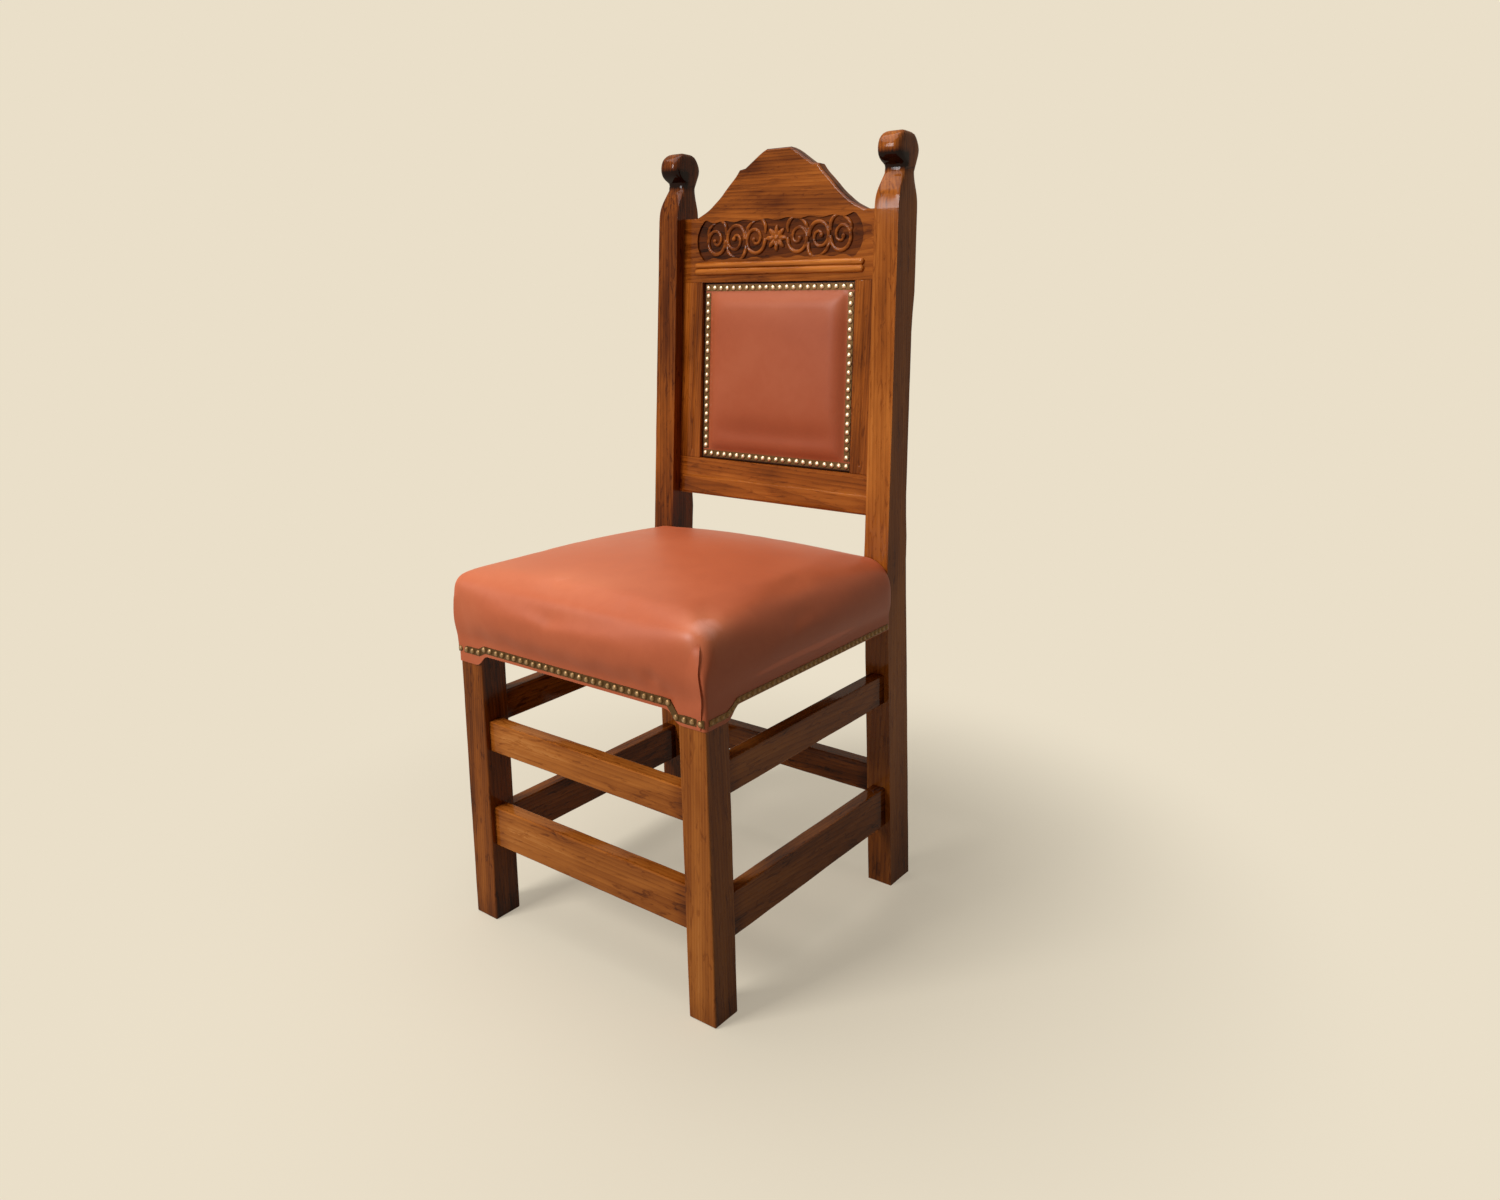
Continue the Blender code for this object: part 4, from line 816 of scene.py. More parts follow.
strands = [carve_drop((0, BAND_MIDDLE), CORE, CORE)]
for petal in range(PETALS):
    angle = 2 * math.pi / PETALS * petal
    reach = ROSETTE_RADIUS * PETAL_MIDDLE
    strands.append(carve_drop((reach * math.cos(angle), BAND_MIDDLE + reach * math.sin(angle)),
                              ROSETTE_RADIUS * PETAL_HALF, PETAL_HALF_WIDTH, angle))
halves = []
for scroll in range(SCROLL_COUNT):
    middle_x = ROSETTE_ROOM + SCROLL_RADIUS + scroll * pitch
    flip = -1 if scroll % 2 else 1
    (stem, stem_end), (leaf, _), (bud, _) = (carve_curl(middle_x, flip, *curl) for curl in CURLS)
    halves += [stem, carve_drop(stem_end, BERRY, BERRY), leaf, bud]
half = join(halves, "scrolls")
change(half, "MIRROR", use_axis=(True, False, False))
carving = join([half] + strands, "carving")
carving.location.z = -(PANEL_DEPTH + BAND_SINK)
carving.scale.z = CARVING_RELIEF
bpy.ops.object.transform_apply()
change(carving, "REMESH", mode="VOXEL", voxel_size=CARVING_GRAIN)
change(carving, "SMOOTH", factor=0.5, iterations=3)
change(carving, "DECIMATE", ratio=CARVING_FACES)
join_in(crest, carving)


def in_carving(place):
    """How deep in the carving's ground a point is, 0 to 1, for its painted shade, and below 0 up on
    the beads, for their painted highlight.
    """
    height = place.z + PANEL_DEPTH
    if height > 0:
        on_bead = place.y < BAND_MIDDLE - SCROLL_RADIUS * SCROLL_TALL
        return -BEAD_PAINTED_HIGHLIGHT * height / BEADS[0][2] if on_bead else 0.0
    return min(-height / BAND_SINK, 1.0) if height > -2 * BAND_SINK else 0.0


# painted shade on the carving's ground, painted highlight on the beads' crowns
mark(crest, "hollow", in_carving)
shade_by_angle(crest, 40)
change(crest, "WEIGHTED_NORMAL", weight=80, keep_sharp=True)
stand_up(crest)
varnish(crest, "crest_board", BACK_GRAIN, raised(0, CREST_SHOULDER), post_inner,
        shade=-0.15, tilt=0.6, patches=0.10, ends=0.0, sunk=CARVING_PAINTED_SHADE)

# Back board. A thin panel in the groove of the back's frame, which carries the pad.
low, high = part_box("back_board")
dress("back_board", varnished_wood("varnished_back_board", UPWARD, (low + high) / 2,
                                   (high.z - low.z) / 2, tilt=0.7, ends=0.0))

# Back pad. Terracotta leather over foam, in the opening of the back's frame. The pad is crowned,
# with a steep border and mitred corners, and its flat edge is nailed to the board.
LEATHER = 0.0020
GAP = 0.0003
PAD_SHELL = 0.0015              # thickness of the modelled leather
BOARD_DEPTH = 0.026             # front of the back board behind the front of the posts
PAD_SLACK = 0.0005              # leather to the edge of the opening
PAD_FLANGE = 0.0150
PAD_SLOPE = 0.025               # width of the pad's steep border
PAD_RISE = 0.0160
PAD_CELLS = (60, 58)            # across and up
PAD_SWELL = 0.0012              # how far the simulation may move a point
PAD_PRESSURE = 0.2
CLOTH_FRAMES = 20
PAD_FOLD = 0.0050               # depth of the shallow fold across the lower part
FOLD_RISE = 0.046               # from the pad's lower edge to the fold
FOLD_WIDTH = 0.024
PAD_SMOOTHING = 3
FOLD_PAINTED_SHADE = 0.32               # painted shade in the fold: how dark it is
PAD_PAINTED_HIGHLIGHT = 0.45               # painted highlight: how much paler the pad's top is
PAD_HIGHLIGHT_FROM, PAD_HIGHLIGHT_TO = 0.075, 0.025   # below its upper edge that begins, and is full
PAINTED_SHADE_RIM = 0.0045                    # edge of the leather painted dark, as the shade under the opening's wall


def leather_surface(name, shade=1.0, gloss=0.22):
    """Smooth terracotta leather with fine pores, darkened where its shade attribute is 1, as painted
    shade, and paler where its highlight attribute is, as a painted highlight.
    """
    skin = Surface(name, 0.42)
    place = skin.node("TexCoord", {}, {}, "Object")
    cloud = skin.noise(place, (7.0, 7.0, 7.0), 2.0, 0.3)
    worn = skin.noise(place, (45.0, 45.0, 45.0), 4.0, 0.8)
    pores = skin.noise(place, (1400.0, 1400.0, 1400.0), 2.0)
    tone = 0.5 + (cloud - 0.5) * 0.40 + (worn - 0.5) * 0.16 + (pores - 0.5) * 0.12
    # painted shade, at the pad's edge and in its fold
    rim = skin.node("Attribute", {"attribute_name": "rim"}, {}, "Fac")
    stops = ((0.0, (0.030, 0.0090, 0.0035)), (0.2, (0.400 * shade, 0.082 * shade, 0.030 * shade)),
             (0.5, (0.520 * shade, 0.120 * shade, 0.046 * shade)),
             (0.8, (0.615 * shade, 0.170 * shade, 0.074 * shade)),
             (1.0, (0.820 * shade, 0.350 * shade, 0.250 * shade)))
    # painted highlight: lifts the tone towards the palest, pinkest stop
    rubbed = skin.node("Attribute", {"attribute_name": "rubbed"}, {}, "Fac")
    tone = tone + rubbed * 0.46
    skin.set(skin.node("ValToRGB", {"stops": stops}, {"Fac": tone - rim * tone}), "Base Color")
    skin.set(0.40 + (worn - 0.5) * 0.16 + (pores - 0.5) * 0.10, "Roughness")
    skin.set(0.04, "Specular IOR Level")
    skin.set(gloss, "Coat Weight")
    skin.set(0.43, "Coat Roughness")
    skin.set(2.0, "Coat IOR")
    grain = skin.node("TexVoronoi", {"feature": "SMOOTH_F1"}, {"Vector": place, "Scale": 900.0},
                      "Distance")
    skin.bump(grain * 0.6 + worn * 0.8, 0.0003, 0.22)
    return skin


def inflate(piece, pinned, pressure, cap, smoothing):
    """Blow a pad up as cloth, and smooth it. Pinned points stay, and none moves beyond the cap."""
    held = piece.vertex_groups.new(name="pinned")
    held.add([vertex.index for vertex in piece.data.vertices if pinned(vertex.co)], 1.0, "REPLACE")
    before = [vertex.co.copy() for vertex in piece.data.vertices]
    cloth = piece.modifiers.new("cloth", "CLOTH")
    cloth.settings.vertex_group_mass = held.name
    cloth.settings.use_pressure = True
    cloth.settings.uniform_pressure_force = pressure
    cloth.settings.effector_weights.gravity = 0.0
    for number in range(1, CLOTH_FRAMES + 1):
        bpy.context.scene.frame_set(number)
    seen = piece.evaluated_get(bpy.context.evaluated_depsgraph_get())
    after = [vertex.co.copy() for vertex in seen.data.vertices]
    piece.modifiers.remove(cloth)
    bpy.context.scene.frame_set(1)
    for vertex, old, new in zip(piece.data.vertices, before, after):
        move = new - old
        if move.length > cap:
            move *= cap / move.length
        vertex.co = old + move
    change(piece, "SMOOTH", factor=0.5, iterations=smoothing, vertex_group=held.name,
           invert_vertex_group=True)
    piece.vertex_groups.remove(piece.vertex_groups["pinned"])


pad_low = RAIL_TOP + PAD_SLACK
pad_high = CREST_BOTTOM - PAD_SLACK
pad_half = OPENING_HALF_WIDTH - PAD_SLACK
pad_middle = (pad_low + pad_high) / 2


def fold_at(x, y):
    """How deep in the pad's shallow fold a point is, 0 to 1."""
    return math.exp(-((y - pad_low - FOLD_RISE) / FOLD_WIDTH) ** 2) * (1 - (x / pad_half) ** 4)


def pad_height(x, y):
    """Height of the pad above its flange."""
    across = pad_half - abs(x)
    along = (pad_high - pad_low) / 2 - abs(y - pad_middle)
    border = (max(across, 1e-5) ** -5 + max(along, 1e-5) ** -5) ** (-1 / 5)
    share = min(max((border - PAD_FLANGE) / PAD_SLOPE, 0.0), 1.0)
    crown = (1 - (x / pad_half) ** 2) * (1 - ((y - pad_middle) / (pad_high - pad_middle)) ** 2)
    slope = math.sin(math.pi / 2 * share) ** 0.75
    return PAD_RISE * (0.66 * slope + 0.20 * crown * share) - PAD_FOLD * fold_at(x, y) * share


def painted_shade_at(place):
    """How dark the painted shade is at a point, 0 to 1: full at the pad's edge, under the opening's
    wall, and partial in its fold.
    """
    beyond = max(abs(place.x) - pad_half, abs(place.y - pad_middle) - (pad_high - pad_low) / 2)
    return 1.0 if beyond > -PAINTED_SHADE_RIM else FOLD_PAINTED_SHADE * fold_at(place.x, place.y)


bpy.ops.mesh.primitive_grid_add(
    x_subdivisions=PAD_CELLS[0], y_subdivisions=PAD_CELLS[1], size=1.0,
    location=(0, pad_middle, -(BOARD_DEPTH - GAP - LEATHER)))
pad = bpy.context.object
pad.name = "back_pad_leather"
pad.scale = (2 * pad_half, pad_high - pad_low, 1)
bpy.ops.object.transform_apply()
for vertex in pad.data.vertices:
    vertex.co.z += pad_height(vertex.co.x, vertex.co.y)
flange_x, flange_y = pad_half - PAD_FLANGE, (pad_high - pad_low) / 2 - PAD_FLANGE
inflate(pad, lambda place: abs(place.x) > flange_x or abs(place.y - pad_middle) > flange_y,
        PAD_PRESSURE, PAD_SWELL, PAD_SMOOTHING)
change(pad, "SUBSURF", levels=1, render_levels=1)
change(pad, "SOLIDIFY", thickness=PAD_SHELL, offset=-1.0)
bpy.ops.object.shade_smooth()
# painted shade at the pad's edge and in its fold
mark(pad, "rim", painted_shade_at)
# painted highlight along the pad's top
mark(pad, "rubbed", lambda place: PAD_PAINTED_HIGHLIGHT * between(
    place.y, pad_high - PAD_HIGHLIGHT_FROM, pad_high - PAD_HIGHLIGHT_TO))
stand_up(pad)
# the pad's leather is the seat's, painted darker as shade
fit(pad, leather_surface("back_leather_painted_shade", 0.70, 0.12), "leather", "back_cover", "back_foam")

# Nails of the back. Domed brass heads on a thin strip, as nail trim is sold, in four rows through
# the edge of the leather. Their patina is dark in the corners and rubbed bright on the crowns.
NAIL_RADIUS = 0.0048
NAIL_HEIGHT = 0.0034
NAIL_PITCH = 0.0130
NAIL_INSET = 0.0090             # from the edge of the opening
NAIL_SINK = 0.0006              # rim pressed into the leather
NAIL_TILT = 0.10                # no nail is driven quite straight
NAIL_STRAY = 0.0004             # or quite in line
STRIP_HALF_WIDTH = 0.0051
STRIP_THICKNESS = 0.0007


def antique_brass(name, start, end):
    """Brass with a dark patina, worn bright where the height on the nail passes start to end."""
    brass = Surface(name, 0.35, 1.0)
    place = brass.node("TexCoord", {}, {}, "Object")
    crown = brass.node("Attribute", {"attribute_name": "crown"}, {}, "Fac")
    patina = brass.noise(place, (260.0, 260.0, 260.0), 4.0)
    rubbed = (crown + (patina - 0.5) * 0.9).between(start, end)
    stops = ((0.0, (0.120, 0.066, 0.026)), (0.4, (0.330, 0.205, 0.100)), (1.0, (0.690, 0.530, 0.370)))
    brass.set(brass.node("ValToRGB", {"stops": stops}, {"Fac": rubbed}), "Base Color")
    brass.set(0.50 - rubbed * 0.16, "Roughness")
    brass.bump(patina, 0.0002, 0.3)
    return brass


bpy.ops.mesh.primitive_uv_sphere_add(segments=10, ring_count=8, radius=NAIL_RADIUS)
nail = bpy.context.object
bpy.ops.object.mode_set(mode="EDIT")
bpy.ops.mesh.select_all(action="SELECT")
bpy.ops.mesh.bisect(plane_co=(0, 0, 0), plane_no=(0, 0, 1), use_fill=True, clear_inner=True)
bpy.ops.mesh.select_all(action="SELECT")
bpy.ops.transform.resize(value=(1, 1, NAIL_HEIGHT / NAIL_RADIUS))
bpy.ops.object.mode_set(mode="OBJECT")
mark(nail, "crown", lambda place: place.z / NAIL_HEIGHT)
shade_by_angle(nail, 50)
hand = random.Random(7)


def lay_strip(places, outward, half_width):
    """The thin dark strip under a row of nails, from the first to the last."""
    strip = add_block("strip", (-0.5, -0.5, 0), (0.5, 0.5, 1))
    bpy.ops.object.mode_set(mode="EDIT")
    pick("EDGE", lambda edge: runs_along(edge, 0))
    bpy.ops.mesh.subdivide(number_cuts=max(len(places) - 2, 1))
    bpy.ops.object.mode_set(mode="OBJECT")
    steps = len(places) - 1
    for vertex in strip.data.vertices:
        along = (vertex.co.x + 0.5) * steps
        number = min(int(along + 0.5), steps)
        before, after = places[max(number - 1, 0)], places[min(number + 1, steps)]
        line = (after - before).normalized()
        side = outward.cross(line).normalized()
        end = (number == steps) - (number == 0)
        vertex.co = (places[number] + line * end * half_width + side * vertex.co.y * 2 * half_width
                     + outward * (vertex.co.z * STRIP_THICKNESS - (1 - vertex.co.z) * NAIL_SINK))
    close_up(strip)
    return strip


def drive_nails(name, places, outward, brass, node, size=1.0):
    """A row of nails at the given places, one piece that replaces its CAD node."""
    turn = Vector(outward).to_track_quat("Z", "Y").to_matrix().to_4x4()
    row = [lay_strip(places, Vector(outward), STRIP_HALF_WIDTH * size)]
    for place in places:
        driven = nail.copy()
        driven.data = nail.data.copy()
        bpy.context.scene.collection.objects.link(driven)
        tilts = [hand.uniform(-NAIL_TILT, NAIL_TILT), hand.uniform(-NAIL_TILT, NAIL_TILT),
                 hand.uniform(0, 6.28)]
        wobble = Matrix.Identity(4)
        for axis, tilt in zip("XYZ", tilts):
            wobble = wobble @ Matrix.Rotation(tilt, 4, axis)
        shift = Vector((hand.uniform(-1, 1) * NAIL_STRAY, hand.uniform(-1, 1) * NAIL_STRAY,
                        -NAIL_SINK))
        driven.matrix_world = (Matrix.Translation(place) @ turn @ Matrix.Translation(shift) @ wobble
                               @ Matrix.Scale(size, 4))
        row.append(driven)
    fit(join(row, name), brass, "brass", node)


# the back's nails get the brightest copy of the brass, a painted lit copy of the same nails
painted_lit_brass = antique_brass("brass_painted_lit", 0.35, 1.15)
nail_face = BOARD_DEPTH - 2 * GAP - LEATHER
nail_half = OPENING_HALF_WIDTH - NAIL_INSET
nail_low, nail_high = RAIL_TOP + NAIL_INSET, CREST_BOTTOM + GAP - NAIL_INSET
forward = (0, -math.cos(RAKE), math.sin(RAKE))
for label, rise in (("bottom", nail_low), ("top", nail_high)):
    drive_nails(f"back_nails_{label}",
                [raised(x, rise, nail_face) for x in spread(-nail_half, nail_half, NAIL_PITCH)],
                forward, painted_lit_brass, f"back_nail_strip_{label}")
for label, x in (("left", -nail_half), ("right", nail_half)):
    drive_nails(f"back_nails_{label}",
                [raised(x, rise, nail_face) for rise in spread(nail_low, nail_high, NAIL_PITCH)[1:-1]],
                forward, painted_lit_brass, f"back_nail_strip_{label}")

# Seat. Terracotta leather drawn tight over a high crowned foam pad, folded in a pleat at each
# front corner and nailed along its lower edge. Flaps hang over the front legs, and it is cut
# round the posts at the back.
HALF_WIDTH = 0.230
LEG_SIZE = 0.044
POST_SETBACK = 0.412            # front face of the legs to front face of the posts
SEAT_BACK = 0.438               # and to the back of the seat's frame
SKIN = GAP + LEATHER
HEM_LEVEL = 0.402
HEM_FLAT = 0.024
FLAP_DROP = 0.016
FLAP_RUN = 0.012
SEAT_BULGE = 0.0080
BULGE_RISE = 0.036
SEAT_EDGE_LEVEL = 0.517
SEAT_CROWN = 0.0225
CROWN_POWER = 2.2
SEAT_FALL = 0.0080              # how much lower its back edge is
FRONT_ROLL = 0.022
LEFT_ROLL, RIGHT_ROLL = 0.008, 0.034    # roundness of the sides at the front
BACK_ROLL = 0.042
SEAT_CORNER = 0.0060            # roundness of its upright corners
SHARP_FROM = 0.35               # share of the way down at which they have become so sharp
SEAT_SHRINK = 0.003             # the pad starts this much smaller, and swells back
SEAT_SWELL = 0.005
SEAT_PRESSURE = 0.5
SEAT_SMOOTHING = 5
SEAT_HELD = 0.8                 # share of the flat hem that the simulation keeps in place
# Painted highlights, where the leather is painted paler: middle, with y from the front of the legs,
# reach and how much.
PAINTED_HIGHLIGHTS = (
    ((0.220, 0.022, 0.511), (0.034, 0.040, 0.028), 1.0),
    ((-0.10, 0.030, 0.525), (0.17, 0.045, 0.022), 0.64))
POST_SLACK = 0.001              # room for a post in the notch that is cut for it
NOTCH_REACH = 0.1               # from the post's front to behind the leather
PULLS = (                       # x, z, depth, width and height of the dents over the nails
    (0.150, 0.438, 0.0038, 0.010, 0.010), (0.172, 0.418, 0.0026, 0.009, 0.018),
    (0.112, 0.434, 0.0014, 0.013, 0.012), (0.060, 0.435, 0.0012, 0.016, 0.010),
    (0.000, 0.436, 0.0012, 0.015, 0.010), (-0.062, 0.435, 0.0011, 0.014, 0.011),
    (-0.120, 0.434, 0.0013, 0.016, 0.010), (-0.176, 0.428, 0.0018, 0.013, 0.012))
CELLS_ACROSS, CELLS_DEEP, CELLS_HIGH = 64, 64, 15
leg_front = leg_box[0].y


def hem_drop(x, y):
    """How far the seat's hem hangs lower here. y is measured from the front of the legs."""
    if y > LEG_SIZE + FLAP_RUN:
        return 0.0
    distance = max(y, min(HALF_WIDTH - abs(x), LEG_SIZE + FLAP_RUN))
    share = min(max((LEG_SIZE + FLAP_RUN - distance) / FLAP_RUN, 0.0), 1.0)
    return FLAP_DROP * share


def seat_place(across, deep, down):
    """Place of a point of the seat's leather. across is -1 to 1, deep 0 to 1, down 0 to 1."""
    half = HALF_WIDTH + SKIN + SEAT_BULGE - SEAT_SHRINK
    front = -SKIN - SEAT_BULGE + SEAT_SHRINK
    back = SEAT_BACK + SKIN + SEAT_BULGE - SEAT_SHRINK
    quarter = math.pi / 2
    front_arc, back_arc = FRONT_ROLL * quarter, BACK_ROLL * quarter
    flat = back - front - FRONT_ROLL - BACK_ROLL
    run = deep * (front_arc + flat + back_arc) - front_arc
    end_roll, end_way, end_excess = FRONT_ROLL, -1, max(-run / front_arc, 0.0)
    if run > flat:
        end_roll, end_way, end_excess = BACK_ROLL, 1, (run - flat) / back_arc
    y = front + FRONT_ROLL + min(max(run, 0.0), flat)
    side_roll = LEFT_ROLL if across < 0 else RIGHT_ROLL
    roll = side_roll + (BACK_ROLL - side_roll) * min(max((y - front) / (back - front), 0.0), 1.0)
    length = half - roll + roll * quarter
    side_excess = max((abs(across) * length - (half - roll)) / (roll * quarter), 0.0)
    x = min(abs(across) * length, half - roll)
    turn = quarter
    if side_excess > 0 and side_excess >= end_excess:
        turn = quarter / 2 * end_excess / side_excess
    elif end_excess > 0:
        turn = quarter - quarter / 2 * side_excess / end_excess
    bend = quarter * max(side_excess, end_excess)
    radius_x, radius_y = roll, end_roll
    if down > 0:
        sharpen = min(down / SHARP_FROM, 1.0)
        radius_x += (SEAT_CORNER - roll) * sharpen
        if side_excess > 0:
            x = half - radius_x
        if end_way < 0:
            radius_y += (SEAT_CORNER - end_roll) * sharpen
            if end_excess > 0:
                y = front + radius_y
    mixed = roll * math.cos(turn) ** 2 + end_roll * math.sin(turn) ** 2
    centre = (front + back) / 2
    crown = (1 - min(x / (half - FRONT_ROLL), 1.0) ** CROWN_POWER) * (
        1 - min(abs(y - centre) / ((back - front) / 2 - FRONT_ROLL), 1.0) ** CROWN_POWER)
    fall = SEAT_FALL * between(y, 0.25 * SEAT_BACK, SEAT_BACK)
    level = (SEAT_EDGE_LEVEL - fall - SEAT_SHRINK + (SEAT_CROWN - SEAT_SHRINK) * crown
             - mixed * (1 - math.cos(bend)))
    x = math.copysign(x + radius_x * math.sin(bend) * math.cos(turn), across)
    y += end_way * radius_y * math.sin(bend) * math.sin(turn)
    if down > 0:
        hem = HEM_LEVEL - hem_drop(x, y)
        level += (hem - level) * down
        share = min(max((level - HEM_LEVEL - HEM_FLAT) / BULGE_RISE, 0.0), 1.0)
        pull = (SEAT_BULGE - SEAT_SHRINK) * (1 - share) ** 2
        if side_excess > 0:
            x -= math.copysign(pull, x)
        if end_excess > 0:
            y -= end_way * pull
    return Vector((x, leg_front + y, level))


def painted_highlight_at(place):
    """How strong the painted highlight on the leather is at a point, 0 to 1."""
    place = place - Vector((0, leg_front, 0))
    return max(much * math.exp(-sum(((place[i] - middle[i]) / reach[i]) ** 2 for i in range(3)))
               for middle, reach, much in PAINTED_HIGHLIGHTS)


def pull_at(place):
    """How far the nails and the pleat pull the front of the leather in at a point."""
    if place.y > leg_front + FRONT_ROLL:
        return 0.0
    depth = 0.0
    for x, z, deep, wide, high in PULLS:
        depth += deep * math.exp(-((place.x - x) / wide) ** 2 - ((place.z - z) / high) ** 2)
    return depth


bpy.ops.mesh.primitive_grid_add(x_subdivisions=CELLS_ACROSS, y_subdivisions=CELLS_DEEP, size=2.0)
seat = bpy.context.object
seat.name = "seat_leather"
bpy.ops.object.mode_set(mode="EDIT")
pick("EDGE", lambda edge: edge.is_boundary)
for row in range(CELLS_HIGH):
    bpy.ops.mesh.extrude_region_move(TRANSFORM_OT_translate={"value": (0, 0, -1 / CELLS_HIGH)})
bpy.ops.object.mode_set(mode="OBJECT")
for vertex in seat.data.vertices:
    vertex.co = seat_place(vertex.co.x, (vertex.co.y + 1) / 2, -vertex.co.z)
close_up(seat)
inflate(seat, lambda place: place.z < HEM_LEVEL + HEM_FLAT * SEAT_HELD,
        SEAT_PRESSURE, SEAT_SWELL, SEAT_SMOOTHING)
for vertex in seat.data.vertices:
    vertex.co.y += pull_at(vertex.co)
change(seat, "SUBSURF", levels=1, render_levels=1)
change(seat, "SOLIDIFY", thickness=PAD_SHELL, offset=-1.0)
for way in (-1, 1):
    inner, outer = sorted((way * (post_inner - POST_SLACK), way * (HALF_WIDTH + BACK_ROLL)))
    notch = add_block("notch", (inner, post_front - POST_SLACK, HEM_LEVEL - BACK_ROLL),
                      (outer, post_front + NOTCH_REACH, SEAT_EDGE_LEVEL + BACK_ROLL))
    join_in(seat, notch, "DIFFERENCE")
shade_by_angle(seat, 50)
# painted highlights at the front right corner and along the front left of the top
mark(seat, "rubbed", painted_highlight_at)
seat_skin = leather_surface("seat_leather_skin")
fit(seat, seat_skin, "leather", "seat_cover", "seat_foam")

# Pleats of the seat. At each front corner the leather of the front is folded over that of the
# side. The fold's free edge runs down just inside the corner, under the last nail.
PLEAT_EDGE = 0.0078             # from the corner to the fold's free edge
PLEAT_BOW = 0.0044              # and how far that edge follows the bulge of the corner
PLEAT_WIDTH = 0.030
PLEAT_TAPER = 0.8               # share of its width that it has lost at its top
PLEAT_TOP = 0.494
PLEAT_HEM = 0.0016              # the fold ends this far above the hem
PLEAT_THICKNESS = 0.0026
PLEAT_CELLS = 12

for side, way in (("left", -1), ("right", 1)):
    bpy.ops.mesh.primitive_grid_add(x_subdivisions=PLEAT_CELLS, y_subdivisions=3 * PLEAT_CELLS,
                                    size=1.0)
    pleat = bpy.context.object
    pleat.name = f"seat_pleat_{side}"
    thick = pleat.vertex_groups.new(name="thick")
    for vertex in pleat.data.vertices:
        across, up = vertex.co.x + 0.5, vertex.co.y + 0.5
        x = HALF_WIDTH + SKIN - PLEAT_EDGE - PLEAT_WIDTH * across * (1 - PLEAT_TAPER * up ** 3)
        hem = HEM_LEVEL - hem_drop(x, 0.0) + PLEAT_HEM
        vertex.co = (way * (x + PLEAT_BOW * math.sin(math.pi * up)), leg_front - 2 * SEAT_BULGE,
                     hem + (PLEAT_TOP - hem) * up)
        weight = ((1 - across) ** 1.6 * (1 - between(up, 0.86, 1.0))
                  * (0.45 + 0.55 * between(up, 0.10, 0.25)))
        thick.add([vertex.index], weight, "REPLACE")
    close_up(pleat)
    change(pleat, "SHRINKWRAP", target=seat, wrap_method="PROJECT", use_project_y=True,
           use_negative_direction=True, use_positive_direction=True, offset=0.0)
    change(pleat, "SHRINKWRAP", target=seat, wrap_method="NEAREST_SURFACEPOINT", offset=0.0)
    for vertex in pleat.data.vertices:
        vertex.co.y += NEAR
    change(pleat, "SOLIDIFY", thickness=PLEAT_THICKNESS, offset=1.0, vertex_group="thick",
           thickness_vertex_group=0.02)
    shade_by_angle(pleat, 50)
    fit(pleat, seat_skin, "leather")

# Nails of the seat. The same nails along the flat lower edge of the leather, in a row that dips
# over the front legs.
FRONT_NAIL_RISE = 0.0095        # above the hem
SIDE_NAIL_RISE = 0.0052
SIDE_NAIL_SIZE = 0.78           # size of the nails at the sides and the back
NAIL_DIPS = {"left": 0.0060, "right": 0.0160}
NAIL_END = 0.0080               # from the last nail of a row to the corner
FRONT_NAIL_END = 0.0055


def nail_level(rise, distance, dip):
    """Height of a nail this far from the seat's front corner."""
    share = (LEG_SIZE + FLAP_RUN - distance) / FLAP_RUN
    return HEM_LEVEL + rise - dip * min(max(share, 0.0), 1.0)


# the seat's nails are the same brass, painted duller in front and darker at the sides and back, as
# painted shade
painted_dim_brass = antique_brass("brass_painted_dim", 0.65, 1.75)
painted_shaded_brass = antique_brass("brass_painted_shaded", 0.90, 2.40)
drive_nails(
    "seat_nails_front",
    [Vector((x, leg_front - SKIN, nail_level(FRONT_NAIL_RISE, HALF_WIDTH - abs(x),
                                             NAIL_DIPS["left" if x < 0 else "right"])))
     for x in spread(-HALF_WIDTH + FRONT_NAIL_END, HALF_WIDTH - FRONT_NAIL_END, NAIL_PITCH)],
    (0, -1, 0), painted_dim_brass, "seat_nail_strip_front")
for side, way in (("left", -1), ("right", 1)):
    dip = NAIL_DIPS[side] - FRONT_NAIL_RISE + SIDE_NAIL_RISE
    drive_nails(
        f"seat_nails_{side}",
        [Vector((way * (HALF_WIDTH + SKIN), leg_front + y, nail_level(SIDE_NAIL_RISE, y, dip)))
         for y in spread(NAIL_END, POST_SETBACK - NAIL_END, NAIL_PITCH * SIDE_NAIL_SIZE)],
        (way, 0, 0), painted_shaded_brass, f"seat_nail_strip_{side}", SIDE_NAIL_SIZE)
nail_half = post_inner - 2 * NAIL_END
drive_nails(
    "seat_nails_back",
    [Vector((x, leg_front + SEAT_BACK + SKIN, HEM_LEVEL + SIDE_NAIL_RISE))
     for x in spread(-nail_half, nail_half, NAIL_PITCH * SIDE_NAIL_SIZE)],
    (0, 1, 0), painted_shaded_brass, "seat_nail_strip_back", SIDE_NAIL_SIZE)
bpy.data.objects.remove(nail)

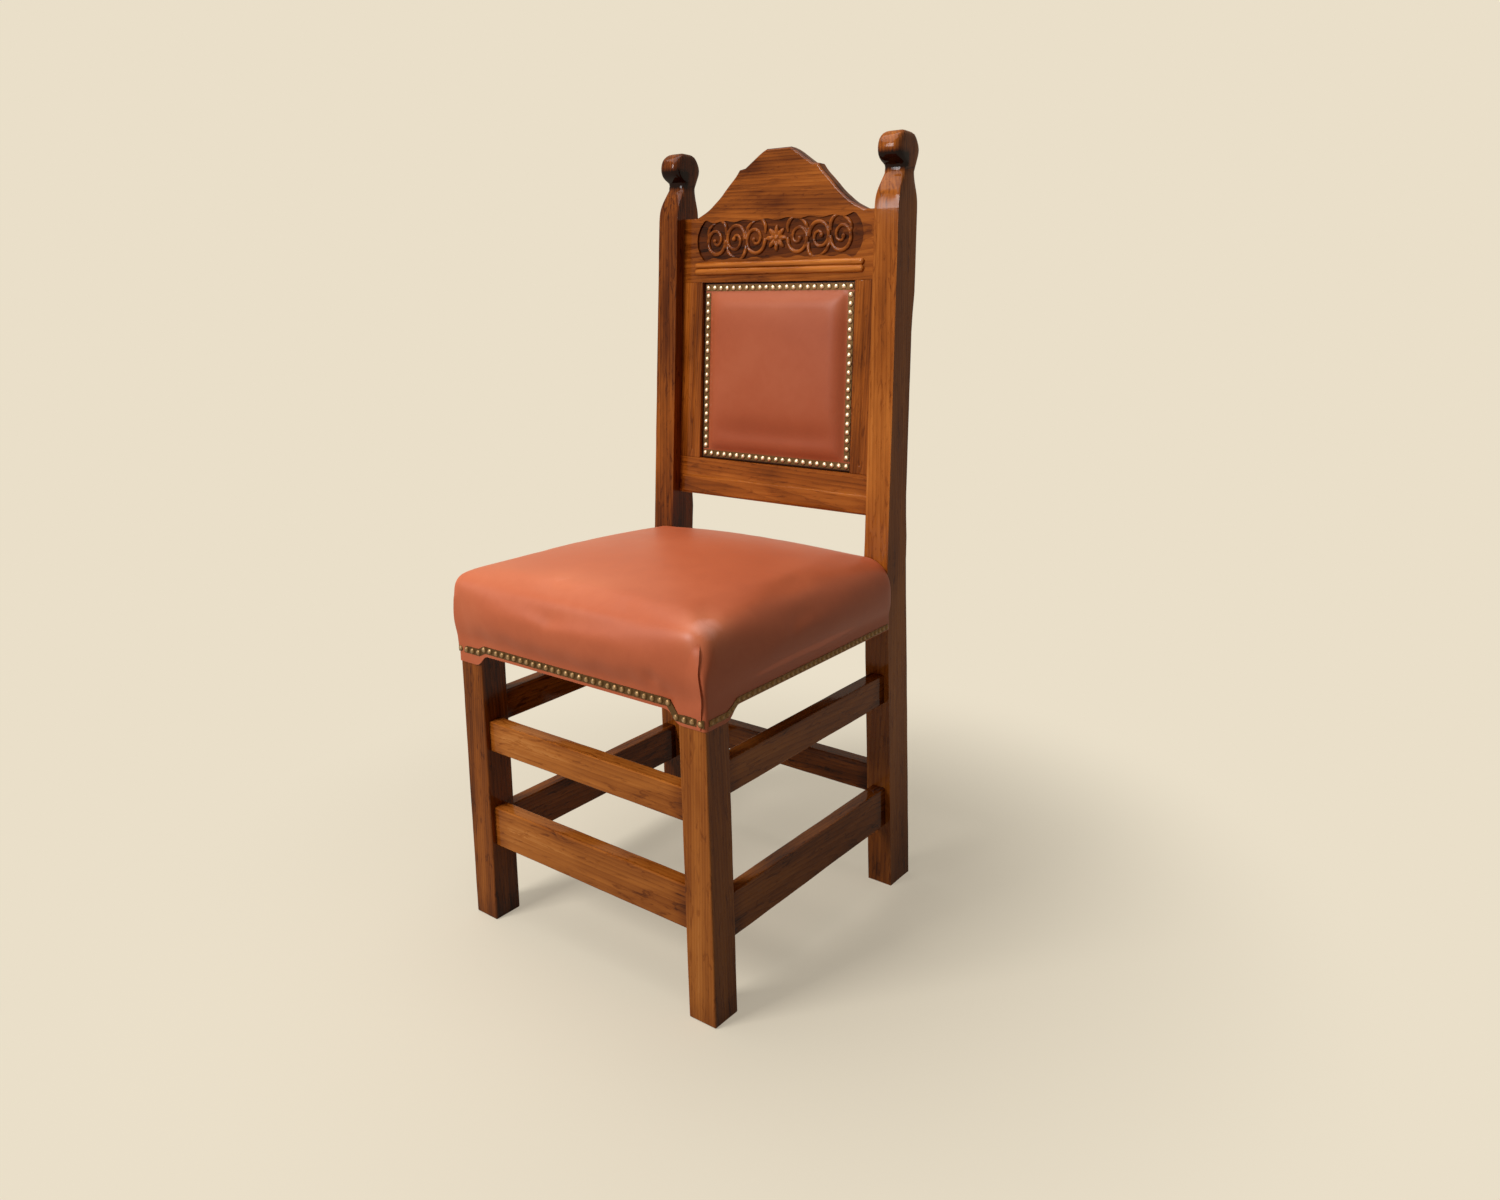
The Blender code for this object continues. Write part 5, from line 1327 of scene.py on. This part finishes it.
# Studio. A plain pale floor under a backdrop of the same colour, a soft key lamp up to the front
# left, a wide overhead lamp, and the camera at the photograph's viewing angle.
BACKDROP = (0.823, 0.738, 0.584)
CAMERA_PLACE = (1.09272, -1.24102, 0.93255)
CAMERA_ANGLES = (81.9477, 1.5587, 38.2198)
CAMERA_LENS = 27.7084
CAMERA_SHIFT = (-0.00045, -0.11361)
FLOOR_SIZE = 12.0
FLOOR_NEAR, FLOOR_FAR = 0.35, 0.95      # the lit floor fades to the backdrop between these radii
FLOOR_GLOW = 0.45               # and it has this share of the backdrop's even light all over
AIM = (0.0, 0.0, 0.55)
LAMPS = (                       # name, place, size, watts
    ("key", (-1.00, -2.65, 2.25), 1.2, 83.0),
    ("overhead", (-0.35, -0.20, 2.40), 1.6, 26.0))
AMBIENT = 0.075                 # light from the room around, on matt surfaces
MIX_FIRST, MIX_SECOND, MIX_RESULT = 6, 7, 2     # a Mix node's colour sockets
FLOOR_BOUNCE = 0.16             # share of the floor's light that matt surfaces get back

bpy.ops.object.camera_add(location=CAMERA_PLACE,
                          rotation=[math.radians(angle) for angle in CAMERA_ANGLES])
camera = bpy.context.object
camera.data.lens = CAMERA_LENS
camera.data.shift_x, camera.data.shift_y = CAMERA_SHIFT
bpy.context.scene.camera = camera

for name, place, size, watts in LAMPS:
    bpy.ops.object.light_add(type="AREA", location=place)
    lamp = bpy.context.object
    lamp.name = name
    lamp.data.size = size
    lamp.data.energy = watts
    lamp.rotation_euler = (Vector(AIM) - lamp.location).to_track_quat("-Z", "Y").to_euler()

bpy.ops.mesh.primitive_plane_add(size=FLOOR_SIZE)
floor = bpy.context.object
floor.name = "floor"
paper = Surface("floor_paper", 0.9)
paper.set(0.0, "Specular IOR Level")
bounced = paper.node("LightPath", {}, {}, "Is Diffuse Ray")
dim = [value * FLOOR_BOUNCE for value in BACKDROP]
seen = paper.node("Mix", {"data_type": "RGBA"}, {0: bounced, MIX_FIRST: BACKDROP, MIX_SECOND: dim},
                  MIX_RESULT)
paper.set(seen, "Base Color")
place = paper.node("TexCoord", {}, {}, "Object")
radius = paper.node("VectorMath", {"operation": "LENGTH"}, {0: place}, "Value")
even = FLOOR_GLOW + radius.between(FLOOR_NEAR, FLOOR_FAR) * (1 - FLOOR_GLOW)
lit = Number(paper, paper.shader.outputs[0])
glow = paper.node("Emission", {}, {"Color": seen})
both = paper.node("MixShader", {}, {0: even, 1: lit, 2: glow})
paper.join(paper.tree.nodes["Material Output"].inputs["Surface"], both)
floor.data.materials.append(paper.material)

world = bpy.data.worlds.new("studio")
bpy.context.scene.world = world
world.use_nodes = True
air = Shading(world.node_tree)
room = air.tree.nodes["Background"]
air.join(room.inputs["Color"], BACKDROP)
seen, glossy, through = (air.node("LightPath", {}, {}, f"Is {kind} Ray")
                         for kind in ("Camera", "Glossy", "Transmission"))
for other in (glossy, through):
    seen = seen.math("MAXIMUM", seen, other)
air.join(room.inputs["Strength"], AMBIENT + seen * (1 - AMBIENT))

bpy.context.scene.view_settings.view_transform = "Standard"
